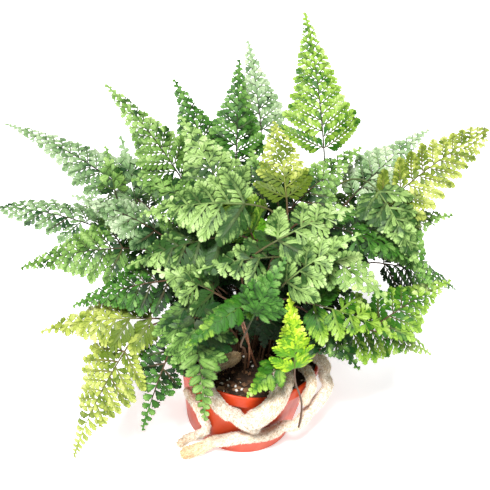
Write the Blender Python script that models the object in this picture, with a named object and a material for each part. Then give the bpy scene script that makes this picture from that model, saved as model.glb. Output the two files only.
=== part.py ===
"""Potted bear's foot fern: tapered pot, soil, creeping furry rhizomes and cut fronds.

Metres, +Z up. Lengths in this file are in millimetres and are scaled when a mesh is made.
The pot stands on the floor with its axis on Z, and the viewer's side is -Y.
"""
import math
import random

import bpy
from mathutils import Vector
from mathutils.bvhtree import BVHTree
from mathutils.geometry import delaunay_2d_cdt, tessellate_polygon

# Scale and round pieces
MM = 0.001
SEGMENTS = 36
UP = Vector((0.0, 0.0, 1.0))

# Pot: outside, rim and inside as radius and height pairs, from the base up and down again
POT_PROFILE = (
    (53.0, 0.0), (64.5, 81.0), (69.4, 82.0), (70.0, 84.0), (70.0, 93.5), (69.2, 95.0),
    (67.6, 95.0), (66.8, 93.5), (66.3, 83.0), (62.4, 80.0), (51.0, 3.0),
)
RIM_INSIDE = 7
DRAIN_RADIUS = 4.0
DRAIN_CIRCLE = 30.0
DRAIN_COUNT = 4
DRAIN_SIDES = 8
SHARP_ANGLE = math.radians(30.0)

# Soil
SOIL_SIDE = ((50.3, 3.5), (61.8, 80.4), (65.7, 83.6))
SOIL_RADIUS = 65.75
SOIL_LEVEL = 85.0
SOIL_BUMP = 1.4
SOIL_GRAINS = 36
GRAIN_SPACING = 7.0
GRAIN_EDGE = 5.0
SOIL_SEED = 5
STEM_HOLE_DEPTH = 8.0
STEM_HOLE_REACH = 2.6

# Rhizomes: name, radius, path over the soil, the rim and the pot's outside
RHIZOME_SIDES = 7
RHIZOME_STEP = 8.6
SEAT_GAP = 0.45
SOIL_GAP = 0.8
HUG_RANGE = 5.0
PATH_FINENESS = 12
REST_ROUNDS = 6
END_REACH = 0.8
END_SIZE = 0.55
TIP_REACH = 1.15
RHIZOMES = (
    ("rhizome_left_band", 6.8, (
        (-12, -19, 92), (-23, -26, 92), (-33, -38, 93), (-40, -50, 98), (-38, -59, 102),
        (-26, -71, 94), (-13, -75, 80), (0, -69, 66), (13, -66, 56))),
    ("rhizome_right_mass", 9.6, (
        (34, -25, 95), (35, -38, 97), (35, -55, 106), (30, -71, 101), (23, -78, 90), (14, -79, 79))),
    ("rhizome_outer", 6.0, (
        (44, 18, 91), (57, 0, 93), (66, -14, 102), (75, -22, 95), (78, -29, 84), (74, -35, 73),
        (66, -41, 62), (57, -48, 51), (45, -54, 43), (30, -59, 39), (14, -62, 38), (-1, -63, 34),
        (-17, -60, 21), (-32, -61, 10), (-45, -67, 7))),
    ("rhizome_left_short", 4.4, (
        (-50, -42, 66), (-41, -51, 57), (-34, -54, 44), (-29, -54, 33), (-32, -50, 20), (-38, -46, 9),
        (-46, -47, 5), (-52, -54, 5))),
    ("rhizome_right_inner", 5.0, (
        (45, -3, 92), (53, -18, 93), (58, -35, 101), (62, -47, 92), (60, -50, 80))),
    ("rhizome_soil_back", 5.0, ((-53, -2, 93), (-42, 0, 91), (-30, 6, 91))),
    ("rhizome_back_left", 5.5, (
        (-24, 40, 92), (-38, 45, 93), (-48, 50, 102), (-58, 56, 93), (-60, 52, 76), (-64, 40, 58),
        (-62, 26, 44))),
    ("rhizome_back_right", 5.5, (
        (18, 46, 92), (28, 54, 95), (34, 60, 102), (42, 66, 93), (45, 62, 76), (38, 60, 56), (24, 63, 42))),
)

# Fronds: name, tone, blade base, blade tip, blade width, pinna pairs, roll in degrees, foot
AUTO = None
FRONDS = (
    ("hero_top", "bright", (45, 95, 260), (10, 185, 355), 78, 7, 0, AUTO),
    ("left_high", "mid", (-75, 48, 233), (-160, 90, 305), 66, 7, 0, AUTO),
    ("left_far", "grey", (-140, 58, 220), (-255, 95, 245), 56, 7, -8, AUTO),
    ("right_far", "yellow", (100, 38, 248), (185, 90, 310), 66, 7, 5, AUTO),
    ("droop_yellow", "yellow", (-105, -80, 150), (-145, -110, 30), 68, 7, 0, AUTO),
    ("left_yellow", "yellow", (-85, -55, 165), (-185, -60, 135), 60, 7, 8, AUTO),
    ("droop_big", "mid", (-55, -65, 200), (-30, -115, 108), 76, 7, -6, AUTO),
    ("left_comb", "grey", (-145, 20, 195), (-240, 20, 205), 50, 6, -10, AUTO),
    ("back_narrow", "grey", (-15, 130, 250), (-40, 190, 315), 50, 6, 10, AUTO),
    ("back_dark", "dark", (-35, 92, 235), (-45, 160, 310), 58, 6, -6, AUTO),
    ("back_left_dark", "dark", (-60, 98, 230), (-105, 150, 285), 52, 6, 0, AUTO),
    ("right_high", "grey", (75, 65, 235), (140, 120, 285), 60, 6, 0, AUTO),
    ("back_right", "mid", (85, 72, 208), (100, 140, 245), 56, 5, 12, AUTO),
    ("right_bright", "bright", (110, -25, 165), (175, 20, 190), 60, 6, 6, AUTO),
    ("right_low", "bright", (82, -45, 175), (170, -20, 130), 60, 6, -6, AUTO),
    ("small_lime", "lime", (40, -80, 150), (25, -60, 220), 42, 6, 0, ("rhizome_outer", 0.50)),
    ("small_bright", "bright", (27, -78, 150), (2, -96, 126), 34, 5, 0, (29, -7)),
    ("front_bright", "bright", (-5, -74, 216), (-54, -112, 190), 42, 5, 10, (15, -13)),
    ("front_dark", "dark", (-4, -90, 208), (18, -62, 258), 60, 6, -5, (-1, -33)),
    ("front_light", "light", (20, -40, 240), (-54, -62, 230), 60, 5, 0, AUTO),
    ("centre_left", "light", (-18, -12, 268), (-110, -10, 240), 76, 7, 5, AUTO),
    ("centre_low_left", "light", (-34, -15, 234), (-115, -40, 205), 70, 6, 0, AUTO),
    ("centre_yellow", "yellow", (14, 10, 262), (-5, 60, 308), 52, 6, 0, AUTO),
    ("right_grey", "light", (8, -42, 256), (72, -2, 272), 62, 6, 0, AUTO),
    ("right_light", "light", (20, -62, 230), (75, -45, 278), 56, 5, 10, AUTO),
    ("right_front", "mid", (40, -30, 243), (112, -58, 218), 62, 6, 0, AUTO),
    ("right_front_low", "bright", (45, -58, 208), (122, -66, 190), 58, 6, -8, AUTO),
    ("right_inner_dark", "dark", (48, 4, 246), (132, -14, 230), 68, 6, 6, AUTO),
    ("right_droop_light", "light", (92, 42, 262), (135, -10, 218), 54, 5, 8, AUTO),
    ("right_droop_dark", "dark", (105, 28, 238), (155, 0, 192), 50, 5, -10, AUTO),
    ("right_level", "mid", (92, 28, 220), (168, 46, 244), 58, 5, 0, AUTO),
    ("left_light", "light", (-38, 34, 234), (-92, 98, 278), 66, 5, 8, AUTO),
    ("left_mid", "grey", (-95, 5, 212), (-172, 5, 240), 58, 5, -10, AUTO),
    ("left_low", "mid", (-120, -8, 200), (-212, -22, 172), 62, 6, 6, AUTO),
    ("left_cluster", "mid", (-74, -8, 206), (-150, -15, 188), 60, 5, 0, AUTO),
    ("left_dark", "dark", (-75, -30, 190), (-158, -48, 160), 60, 6, 0, AUTO),
    ("left_inner", "mid", (-28, 18, 220), (-125, 38, 242), 74, 6, 0, AUTO),
    ("centre_right_back", "mid", (12, 28, 226), (78, 88, 276), 72, 6, 0, AUTO),
    ("droop_dark", "dark", (-68, -75, 150), (-84, -112, 82), 46, 5, 10, AUTO),
    ("centre_bright", "bright", (-12, 16, 216), (-46, 32, 264), 58, 5, 0, AUTO),
    ("left_low_pale", "light", (-36, -55, 203), (-90, -64, 226), 50, 5, 0, AUTO),
    ("small_right", "mid", (55, -55, 185), (95, -76, 155), 44, 5, 0, AUTO),
    ("back_low_left", "mid", (-110, 75, 180), (-200, 130, 125), 64, 6, 0, AUTO),
    ("back_low_mid_left", "dark", (-42, 68, 190), (-125, 178, 142), 74, 6, 6, AUTO),
    ("back_low_mid", "mid", (-8, 78, 205), (-25, 222, 152), 78, 6, 0, AUTO),
    ("back_low_mid_right", "grey", (30, 72, 200), (72, 208, 157), 74, 6, -6, AUTO),
    ("back_low_right", "mid", (65, 62, 184), (152, 160, 142), 70, 6, 0, AUTO),
    ("right_back_low", "dark", (112, 50, 175), (200, 85, 125), 62, 6, 0, AUTO),
    ("back_skirt_left", "mid", (-50, 78, 145), (-95, 150, 85), 56, 5, 0, AUTO),
    ("back_skirt_right", "bright", (40, 85, 145), (75, 155, 85), 56, 5, 0, AUTO),
)

# Frond shape
RACHIS_HALF_WIDTH = 0.95
RACHIS_HALF_THICK = 0.8
BLADE_HALF_THICK = 0.4
BLADE_ARCH = 0.085
BLADE_CUP = 0.16
STIPE_RISE = 0.42
STIPE_LEAD = 0.34
BOW_SHARE = 0.6
PINNA_FIRST = 0.05
PINNA_SPREAD = 0.92
PINNA_CROWDING = 0.92
BLADE_TAPER = 0.9
PINNA_ANGLE_BASE = 58.0
PINNA_ANGLE_TIP = 40.0
PINNA_STAGGER = 0.3
PINNA_GAP = 0.4
PINNA_ROOT_SHARE = 0.3
PINNA_ROOT_LARGEST = 3.2
LOBE_CREST = 0.58
LOBE_NOTCH = 1.08
LOBE_SPARE = 0.32
LOBE_ROUNDING = 0.3
LOBE_CUT = 0.6
LOBE_CLEAR = 0.5
BASAL_LOBES = 1.35
RACHIS_SLIMMING = 0.55
STEM_HOLE_DROP = 6.0
STEM_HOLE_RISE = 4.0
FACING = Vector((0.0, -0.35, 1.0))
STIPE_CUTS = (0.35, 0.7)
STIPE_FRAMES = 20

# Feet of the fronds in the soil
FOOT_SPREAD = 0.24
FOOT_CENTRE = (4.0, 17.0)
FOOT_REACH = 44.0
FOOT_SPACING = 7.5
FOOT_SEED = 11
FOOT_ROUNDS = 400
FOOT_PACE = 0.6
FOOT_STANDOFF = 2.1
FOOT_LEAN = (0.9, 0.43)
FOOT_JITTER = 3.0

# Steps a frond may be moved by until it clears what is placed already
DEPTH_STEPS = (0, 5, -5, 10, -10, 15, -15, 21, -21, 28, -28)
ROLL_STEPS = (0, 10, -10, 20, -20)
BOW_STEPS = (0, 8, -8, 16, -16)
ROLL_COST = 0.6
BOW_COST = 0.5
DEPTH_AXIS = Vector((0.0, 0.78, -0.62))
CLEAR_EXTRA = 0.5
FLOOR_CLEAR = 4.0

# Materials: colour, roughness, metallic
MATERIALS = {
    "pot_plastic": ((0.58, 0.10, 0.045), 0.38, 0.0),
    "soil": ((0.045, 0.026, 0.016), 0.95, 0.0),
    "rhizome_fur": ((0.82, 0.74, 0.58), 0.9, 0.0),
    "leaf_bright": ((0.12, 0.36, 0.03), 0.42, 0.0),
    "leaf_mid": ((0.06, 0.22, 0.045), 0.42, 0.0),
    "leaf_grey": ((0.10, 0.24, 0.11), 0.4, 0.0),
    "leaf_dark": ((0.03, 0.13, 0.035), 0.4, 0.0),
    "leaf_light": ((0.15, 0.34, 0.11), 0.4, 0.0),
    "leaf_yellow": ((0.26, 0.42, 0.04), 0.45, 0.0),
    "leaf_lime": ((0.42, 0.70, 0.02), 0.4, 0.0),
}


def clear_scene():
    for item in list(bpy.data.objects):
        bpy.data.objects.remove(item, do_unlink=True)


def make_material(name):
    colour, roughness, metallic = MATERIALS[name]
    material = bpy.data.materials.new(name)
    material.use_nodes = True
    shader = material.node_tree.nodes["Principled BSDF"]
    shader.inputs["Base Color"].default_value = (*colour, 1.0)
    shader.inputs["Roughness"].default_value = roughness
    shader.inputs["Metallic"].default_value = metallic
    return material


def add_object(name, points, faces, material):
    """Make one named object from millimetre points, smooth but for its sharp edges."""
    mesh = bpy.data.meshes.new(name)
    mesh.from_pydata([tuple(MM * value for value in point) for point in points], [], faces)
    mesh.validate()
    mesh.update()
    mesh.materials.append(material)
    mesh.shade_smooth()
    mesh.set_sharp_from_angle(angle=SHARP_ANGLE)
    item = bpy.data.objects.new(name, mesh)
    bpy.context.collection.objects.link(item)
    return item


def ring_points(radius, height, count=SEGMENTS, centre=(0.0, 0.0)):
    points = []
    for index in range(count):
        angle = 2.0 * math.pi * index / count
        x = centre[0] + radius * math.cos(angle)
        y = centre[1] + radius * math.sin(angle)
        points.append((x, y, height))
    return points


def triangulate_disc(outer, holes, inner_points=()):
    """Triangles of a flat disc with holes; all rings run counterclockwise."""
    flat = [Vector(point[:2]) for point in outer]
    loops = [list(range(len(outer)))]
    for hole in holes:
        start = len(flat)
        flat += [Vector(point[:2]) for point in hole]
        loops.append(list(range(start, len(flat))))
    flat += [Vector(point[:2]) for point in inner_points]
    edges = []
    for loop in loops:
        edges += list(zip(loop, loop[1:] + loop[:1]))
    result = delaunay_2d_cdt(flat, edges, [], 1, 1e-6, True)
    places, triangles, origins = result[0], result[2], result[3]
    source = [ids[0] for ids in origins]
    kept = []
    for triangle in triangles:
        middle = sum((places[corner] for corner in triangle), Vector((0.0, 0.0))) / 3.0
        if any(inside_ring(middle, hole) for hole in holes):
            continue
        kept.append(tuple(source[corner] for corner in triangle))
    return kept


def inside_ring(point, ring):
    """True when a point is inside a convex counterclockwise ring."""
    for start, end in zip(ring, ring[1:] + ring[:1]):
        edge_x, edge_y = end[0] - start[0], end[1] - start[1]
        if edge_x * (point[1] - start[1]) - edge_y * (point[0] - start[0]) < 0.0:
            return False
    return True


def join_rings(first, second, faces):
    """Triangles between two rings of equal count, facing outward as the rings rise."""
    count = len(first)
    for index in range(count):
        after = (index + 1) % count
        faces.append((first[index], first[after], second[after]))
        faces.append((first[index], second[after], second[index]))


def build_pot(material):
    points, faces, rings = [], [], []
    for radius, height in POT_PROFILE:
        rings.append(list(range(len(points), len(points) + SEGMENTS)))
        points += ring_points(radius, height)
    for lower, upper in zip(rings, rings[1:]):
        join_rings(lower, upper, faces)
    drains = []
    for index in range(DRAIN_COUNT):
        angle = 2.0 * math.pi * (index + 0.5) / DRAIN_COUNT
        centre = (DRAIN_CIRCLE * math.cos(angle), DRAIN_CIRCLE * math.sin(angle))
        drains.append(ring_points(DRAIN_RADIUS, 0.0, DRAIN_SIDES, centre))
    base_height, floor_height = POT_PROFILE[0][1], POT_PROFILE[-1][1]
    layers = []
    for height, edge in ((base_height, rings[0]), (floor_height, rings[-1])):
        index_map = list(edge)
        loops = []
        for drain in drains:
            loops.append(list(range(len(points), len(points) + DRAIN_SIDES)))
            points += [(x, y, height) for x, y, _ in drain]
            index_map += loops[-1]
        layers.append((index_map, loops))
    for (index_map, loops), edge, face_up in zip(layers, (rings[0], rings[-1]), (False, True)):
        outline = [points[index] for index in edge]
        for triangle in triangulate_disc(outline, drains):
            corners = tuple(index_map[corner] for corner in triangle)
            faces.append(corners if face_up else corners[::-1])
    for low, high in zip(layers[0][1], layers[1][1]):
        join_rings(high, low, faces)
    return add_object("pot", points, faces, material)


def soil_height(x, y):
    """Bumpy soil surface that is level at the pot's wall."""
    fade = max(0.0, 1.0 - (math.hypot(x, y) / SOIL_RADIUS) ** 4)
    wave = math.sin(0.17 * x + 1.3) * math.cos(0.21 * y - 0.4) + 0.5 * math.sin(0.33 * x - 0.27 * y)
    return SOIL_LEVEL + SOIL_BUMP * fade * wave


def stem_hole(foot):
    return ring_points(STEM_HOLE_REACH, 0.0, 4, foot)


def build_soil(material, feet):
    rng = random.Random(SOIL_SEED)
    holes = [stem_hole(foot) for foot in feet]
    points, faces, rings = [], [], []
    for radius, height in SOIL_SIDE + ((SOIL_RADIUS, SOIL_LEVEL),):
        rings.append(list(range(len(points), len(points) + SEGMENTS)))
        points += ring_points(radius, height)
    for lower, upper in zip(rings, rings[1:]):
        join_rings(lower, upper, faces)
    bottom = [points[index] for index in rings[0]]
    for triangle in triangulate_disc(bottom, []):
        faces.append(tuple(rings[0][corner] for corner in triangle)[::-1])
    index_map = list(rings[-1])
    mouths = []
    for hole in holes:
        mouths.append(list(range(len(points), len(points) + 4)))
        points += [(x, y, soil_height(x, y)) for x, y, _ in hole]
        index_map += mouths[-1]
    grains = []
    while len(grains) < SOIL_GRAINS:
        radius = (SOIL_RADIUS - GRAIN_EDGE) * math.sqrt(rng.random())
        angle = rng.uniform(0.0, 2.0 * math.pi)
        spot = (radius * math.cos(angle), radius * math.sin(angle))
        near_hole = any(math.dist(spot, foot) < GRAIN_EDGE for foot in feet)
        near_grain = any(math.dist(spot, other) < GRAIN_SPACING for other in grains)
        if not near_hole and not near_grain:
            grains.append(spot)
    for x, y in grains:
        index_map.append(len(points))
        points.append((x, y, soil_height(x, y)))
    outline = [points[index] for index in rings[-1]]
    for triangle in triangulate_disc(outline, holes, grains):
        faces.append(tuple(index_map[corner] for corner in triangle))
    for mouth in mouths:
        depth = min(points[index][2] for index in mouth) - STEM_HOLE_DEPTH
        floor = list(range(len(points), len(points) + 4))
        points += [(points[index][0], points[index][1], depth) for index in mouth]
        join_rings(mouth, floor, faces)
        faces.append((floor[0], floor[1], floor[2]))
        faces.append((floor[0], floor[2], floor[3]))
    return add_object("soil", points, faces, material)


def support_outline(x, y):
    """Radius and height pairs of the outside of soil and pot, from the axis to the floor."""
    level = soil_height(x, y) + SOIL_GAP
    inner_edge = POT_PROFILE[RIM_INSIDE + 1][0]
    return [(0.0, level), (inner_edge, level)] + list(POT_PROFILE[RIM_INSIDE::-1])


def nearest_on_outline(radius, height, outline):
    best = None
    for (r0, z0), (r1, z1) in zip(outline, outline[1:]):
        length = (r1 - r0) ** 2 + (z1 - z0) ** 2
        share = ((radius - r0) * (r1 - r0) + (height - z0) * (z1 - z0)) / length
        share = min(1.0, max(0.0, share))
        near = (r0 + share * (r1 - r0), z0 + share * (z1 - z0))
        gap = math.dist(near, (radius, height))
        if best is None or gap < best[0]:
            best = (gap, near)
    return best


def rest_on_supports(point, radius, reach=HUG_RANGE):
    """Move a tube's centre so that it lies just off the pot, the soil and the floor.

    A centre farther off than the reach stays where it is.
    """
    place = point.copy()
    for _ in range(REST_ROUNDS):
        across = math.hypot(place.x, place.y)
        outline = support_outline(place.x, place.y)
        gap, near = nearest_on_outline(across, place.z, outline)
        wanted = radius + SEAT_GAP
        inside = place.z < outline[0][1] and across < near[0]
        if inside or gap > wanted + reach:
            break
        scale = wanted / max(gap, 1e-6)
        new_across = near[0] + (across - near[0]) * scale
        place.z = near[1] + (place.z - near[1]) * scale
        place.x *= new_across / across
        place.y *= new_across / across
    place.z = max(place.z, radius + SEAT_GAP)
    return place


def smooth_path(stops, step):
    """Evenly spaced points on a Catmull-Rom path through the stops."""
    stops = [Vector(stop) for stop in stops]
    ends = [2 * stops[0] - stops[1]] + stops + [2 * stops[-1] - stops[-2]]
    fine = []
    for p0, p1, p2, p3 in zip(ends, ends[1:], ends[2:], ends[3:]):
        for index in range(PATH_FINENESS):
            t = index / PATH_FINENESS
            fine.append(0.5 * (2 * p1 + (p2 - p0) * t + (2 * p0 - 5 * p1 + 4 * p2 - p3) * t ** 2
                               + (3 * p1 - p0 - 3 * p2 + p3) * t ** 3))
    fine.append(stops[-1])
    travel = [0.0]
    for first, second in zip(fine, fine[1:]):
        travel.append(travel[-1] + (second - first).length)
    count = max(3, round(travel[-1] / step))
    path, cursor = [], 0
    for index in range(count + 1):
        target = travel[-1] * index / count
        while cursor < len(travel) - 2 and travel[cursor + 1] < target:
            cursor += 1
        share = (target - travel[cursor]) / max(travel[cursor + 1] - travel[cursor], 1e-9)
        path.append(fine[cursor].lerp(fine[cursor + 1], share))
    return path


def rhizome_path(radius, stops):
    """Path of a rhizome that clears the supports at its stations, between them and at its ends."""
    path = [rest_on_supports(point, radius) for point in smooth_path(stops, RHIZOME_STEP)]
    for _ in range(REST_ROUNDS):
        for index in range(len(path) - 1):
            middle = path[index].lerp(path[index + 1], 0.5)
            lift = rest_on_supports(middle, radius, 0.0) - middle
            path[index] = path[index] + lift
            path[index + 1] = path[index + 1] + lift
        for end, inner in ((0, 1), (-1, -2)):
            cap = path[end] + (path[end] - path[inner]).normalized() * radius
            path[end] = path[end] + rest_on_supports(cap, END_SIZE * radius, 0.0) - cap
    return path


def tube_mesh(path, radius):
    """Closed tube with rounded ends along a path."""
    first, last = path[0], path[-1]
    lead = (first - path[1]).normalized()
    tail = (last - path[-2]).normalized()
    stations = [(first + lead * radius * END_REACH, END_SIZE * radius)]
    stations += [(point, radius) for point in path]
    stations.append((last + tail * radius * END_REACH, END_SIZE * radius))
    points, faces, rings = [], [], []
    side = None
    for index, (centre, size) in enumerate(stations):
        before = stations[max(index - 1, 0)][0]
        after = stations[min(index + 1, len(stations) - 1)][0]
        along = (after - before).normalized()
        if side is None:
            side = along.orthogonal().normalized()
        side = (side - along * side.dot(along)).normalized()
        upward = along.cross(side)
        ring = []
        for step in range(RHIZOME_SIDES):
            angle = 2.0 * math.pi * step / RHIZOME_SIDES
            ring.append(len(points))
            points.append(centre + (side * math.cos(angle) + upward * math.sin(angle)) * size)
        rings.append(ring)
    for lower, upper in zip(rings, rings[1:]):
        join_rings(lower, upper, faces)
    for ring, tip, flip in ((rings[0], first + lead * radius * TIP_REACH, True),
                            (rings[-1], last + tail * radius * TIP_REACH, False)):
        apex = len(points)
        points.append(tip)
        for start, end in zip(ring, ring[1:] + ring[:1]):
            faces.append((end, start, apex) if flip else (start, end, apex))
    return points, faces


def foot_places(rhizome_paths):
    """Feet in the soil, each below its own frond, kept apart from each other and the rhizomes."""
    rng = random.Random(FOOT_SEED)
    feet, fixed = [], []
    for _, _, base, _, _, _, _, foot in FRONDS:
        if foot is AUTO:
            x = FOOT_CENTRE[0] + FOOT_SPREAD * base[0] + rng.uniform(-FOOT_JITTER, FOOT_JITTER)
            y = FOOT_CENTRE[1] + FOOT_SPREAD * base[1] + rng.uniform(-FOOT_JITTER, FOOT_JITTER)
            feet.append(Vector((x, y)))
            fixed.append(False)
        elif foot[0] in rhizome_paths:
            radius, path = rhizome_paths[foot[0]]
            station = path[round(foot[1] * (len(path) - 1))]
            outward = Vector((station.x, station.y, 0.0)).normalized()
            lean = (outward * FOOT_LEAN[0] + UP * FOOT_LEAN[1]) * (radius + FOOT_STANDOFF)
            feet.append(station + lean + UP * (STEM_HOLE_DROP + STEM_HOLE_RISE))
            fixed.append(True)
        else:
            feet.append(Vector(foot))
            fixed.append(True)
    blocks = []
    for radius, path in rhizome_paths.values():
        for start, end in zip(path, path[1:]):
            for share in (0.0, 0.5):
                spot = start.lerp(end, share)
                blocks.append((spot.xy, radius + STEM_HOLE_REACH + 1.0))
    for _ in range(FOOT_ROUNDS):
        for index, foot in enumerate(feet):
            if fixed[index]:
                continue
            push = Vector((0.0, 0.0))
            for other_index, other in enumerate(feet):
                apart = foot - other.xy
                if other_index != index and apart.length < FOOT_SPACING:
                    share = 1.0 if fixed[other_index] else 0.5
                    push += apart.normalized() * (FOOT_SPACING - apart.length) * share
            for spot, reach in blocks:
                apart = foot - spot
                if apart.length < reach:
                    push += apart.normalized() * (reach - apart.length)
            foot += push * FOOT_PACE
            if foot.length > FOOT_REACH:
                foot *= FOOT_REACH / foot.length
    return feet


def pinna_stations(length, width, pairs):
    """Root distance, length and angle of every pinna, from the blade's base to near its tip."""
    rows = []
    for index in range(pairs):
        share = index / pairs
        root = length * (PINNA_FIRST + PINNA_SPREAD * share ** PINNA_CROWDING)
        angle = math.radians(PINNA_ANGLE_BASE + (PINNA_ANGLE_TIP - PINNA_ANGLE_BASE) * share)
        reach = 0.5 * width / math.sin(angle) * (1.0 - share) ** BLADE_TAPER
        rows.append((root, reach, angle))
    return rows


def pinna_outline(root, reach, angle, spacing, lobes, lower_wide):
    """Outline of one pinna on the +w side as (x, w), from its lower root to its upper root.

    An upper lobe leans back over the rachis, so it sits far enough out to clear it.
    """
    axis = Vector((math.cos(angle), math.sin(angle)))
    upward = Vector((math.sin(angle), -math.cos(angle)))
    half = 0.5 * spacing * math.sin(angle) - PINNA_GAP
    half_root = min(PINNA_ROOT_LARGEST, PINNA_ROOT_SHARE * spacing)
    start = Vector((root, 0.0))
    lower, upper = [], []
    for index in range(lobes):
        out_share = (index + LOBE_CREST) / (lobes + LOBE_SPARE)
        in_share = (index + LOBE_NOTCH) / (lobes + LOBE_SPARE)
        out_half = half * (1.0 - out_share) ** LOBE_ROUNDING
        in_half = LOBE_CUT * out_half
        clear_share = (RACHIS_HALF_WIDTH + LOBE_CLEAR + axis.x * out_half) / (axis.y * reach)
        lower.append(start + axis * reach * out_share - upward * out_half * lower_wide)
        upper.append(start + axis * reach * max(out_share, clear_share) + upward * out_half)
        if index < lobes - 1:
            lower.append(start + axis * reach * in_share - upward * in_half)
            upper.append(start + axis * reach * in_share + upward * in_half)
    tip = start + axis * reach
    edge = [Vector((root - half_root, RACHIS_HALF_WIDTH))] + lower + [tip]
    edge += upper[::-1] + [Vector((root + half_root, RACHIS_HALF_WIDTH))]
    return edge


def lobe_count(index, pairs):
    if index < max(1, pairs - 5):
        return 2
    if index < pairs - 1:
        return 1
    return 0


def frond_pattern(length, stipe_length, width, pairs):
    """Flat frond: boundary points (u, w, half thickness) and triangles, u is 0 at the blade's base.

    The lowest two pinnae are opposite, so the stalk meets both at the same place, and the rest alternate.
    """
    stipe_u = [-stipe_length - 2.0, -stipe_length - 1.0]
    stipe_u += [-stipe_length * (1.0 - cut) for cut in STIPE_CUTS]
    points, triangles, chains, outlines = [], [], [], []
    stations = pinna_stations(length, width, pairs)
    for sign in (1.0, -1.0):
        chain, outline = [], []
        for u in stipe_u:
            chain.append(len(points))
            outline.append(len(points))
            points.append((u, sign * RACHIS_HALF_WIDTH, RACHIS_HALF_THICK))
        for index, (root, reach, angle) in enumerate(stations):
            following = stations[index + 1][0] if index + 1 < pairs else length
            spacing = following - root
            shift = PINNA_STAGGER * spacing if sign > 0.0 and index > 0 else 0.0
            lower_wide = BASAL_LOBES if index == 0 else 1.0
            edge = pinna_outline(root + shift, reach, angle, spacing, lobe_count(index, pairs), lower_wide)
            slim = 1.0 - RACHIS_SLIMMING * root / length
            loop = []
            for number, (x, w) in enumerate(edge):
                at_root = number in (0, len(edge) - 1)
                half_thick = RACHIS_HALF_THICK * slim if at_root else BLADE_HALF_THICK
                loop.append(len(points))
                points.append((x, sign * (w * slim if at_root else w), half_thick))
            chain += [loop[0], loop[-1]]
            outline += loop
            flat = [Vector((points[corner][0], points[corner][1], 0.0)) for corner in loop]
            for triangle in tessellate_polygon([flat]):
                triangles.append(tuple(loop[corner] for corner in triangle))
        chains.append(chain)
        outlines.append(outline)
    apex = len(points)
    points.append((length, 0.0, BLADE_HALF_THICK))
    triangles += zip_chains(points, chains[0] + [apex], chains[1] + [apex])
    boundary = outlines[1] + [apex] + outlines[0][::-1]
    return points, [upright(points, triangle) for triangle in triangles], boundary


def zip_chains(points, left, right):
    """Triangles of the strip between two chains that run the same way and share their last point."""
    triangles = []
    i, j = 0, 0
    while i < len(left) - 1 or j < len(right) - 1:
        left_next = points[left[i + 1]][0] if i < len(left) - 1 else math.inf
        right_next = points[right[j + 1]][0] if j < len(right) - 1 else math.inf
        if left_next <= right_next:
            triangle = (left[i], right[j], left[i + 1])
            i += 1
        else:
            triangle = (left[i], right[j], right[j + 1])
            j += 1
        if len(set(triangle)) == 3:
            triangles.append(triangle)
    return triangles


def upright(points, triangle):
    (x0, y0, _), (x1, y1, _), (x2, y2, _) = (points[corner] for corner in triangle)
    area = (x1 - x0) * (y2 - y0) - (x2 - x0) * (y1 - y0)
    return triangle if area > 0.0 else (triangle[0], triangle[2], triangle[1])


def bezier(controls, t):
    """Point on a curve of any degree."""
    while len(controls) > 1:
        controls = [first.lerp(second, t) for first, second in zip(controls, controls[1:])]
    return controls[0]


def bezier_slope(controls, t):
    degree = len(controls) - 1
    steps = [(second - first) * degree for first, second in zip(controls, controls[1:])]
    return bezier(steps, t)


class FrondCurve:
    """Midline and side direction of one frond for one set of clearing steps."""

    def __init__(self, base, tip, foot, roll, steps):
        depth, extra_roll, bow = steps
        move = DEPTH_AXIS * depth
        base = Vector(base) + move
        tip = Vector(tip) + move
        chord = tip - base
        along = chord.normalized()
        normal = (FACING - along * FACING.dot(along)).normalized()
        side = along.cross(normal)
        turn = math.radians(roll + extra_roll)
        middle = base.lerp(tip, 0.5) + normal * 2.0 * BLADE_ARCH * chord.length
        self.side = side * math.cos(turn) + normal * math.sin(turn)
        self.blade = [base, middle, tip]
        self.length = chord.length
        heading = (middle - base).normalized()
        foot = Vector(foot)
        reach = (base - foot).length
        sideways = Vector((-heading.y, heading.x, 0.0)) * bow / max(heading.xy.length, 0.2)
        self.foot = foot
        self.stipe = [
            foot,
            foot + UP * reach * STIPE_RISE + sideways,
            base - heading * reach * STIPE_LEAD + sideways * BOW_SHARE,
            base,
        ]
        self.stipe_length = reach
        self.stipe_sides = [self.side]
        for index in range(STIPE_FRAMES):
            upper = bezier_slope(self.stipe, 1.0 - index / STIPE_FRAMES)
            lower = bezier_slope(self.stipe, 1.0 - (index + 1) / STIPE_FRAMES)
            turned = self.stipe_sides[-1].copy()
            turned.rotate(upper.rotation_difference(lower))
            self.stipe_sides.append(turned)

    def place(self, u, w, lift):
        """Point for a distance u along the blade, w to the side and a lift off the blade's face.

        Only the rachis follows the stalk below the blade: lobes that reach back stay in the blade's curve.
        """
        side = self.side
        if u < -self.stipe_length:
            drop = self.stipe_length + u + 1.0
            centre = self.foot + UP * drop * (STEM_HOLE_DROP + STEM_HOLE_RISE)
            slope = UP
            side = self.stipe_sides[-1]
        elif u < 0.0 and abs(w) <= RACHIS_HALF_WIDTH:
            t = 1.0 + u / self.stipe_length
            centre = bezier(self.stipe, t)
            slope = bezier_slope(self.stipe, t)
            side = self.stipe_sides[round((1.0 - t) * STIPE_FRAMES)]
        else:
            t = u / self.length
            centre = bezier(self.blade, t)
            slope = bezier_slope(self.blade, t)
        along = slope.normalized()
        normal = side.cross(along).normalized()
        across = normal.cross(along)
        cup = BLADE_CUP * w * w / (0.5 * self.length)
        return centre + across * w + normal * (lift - cup)


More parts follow.
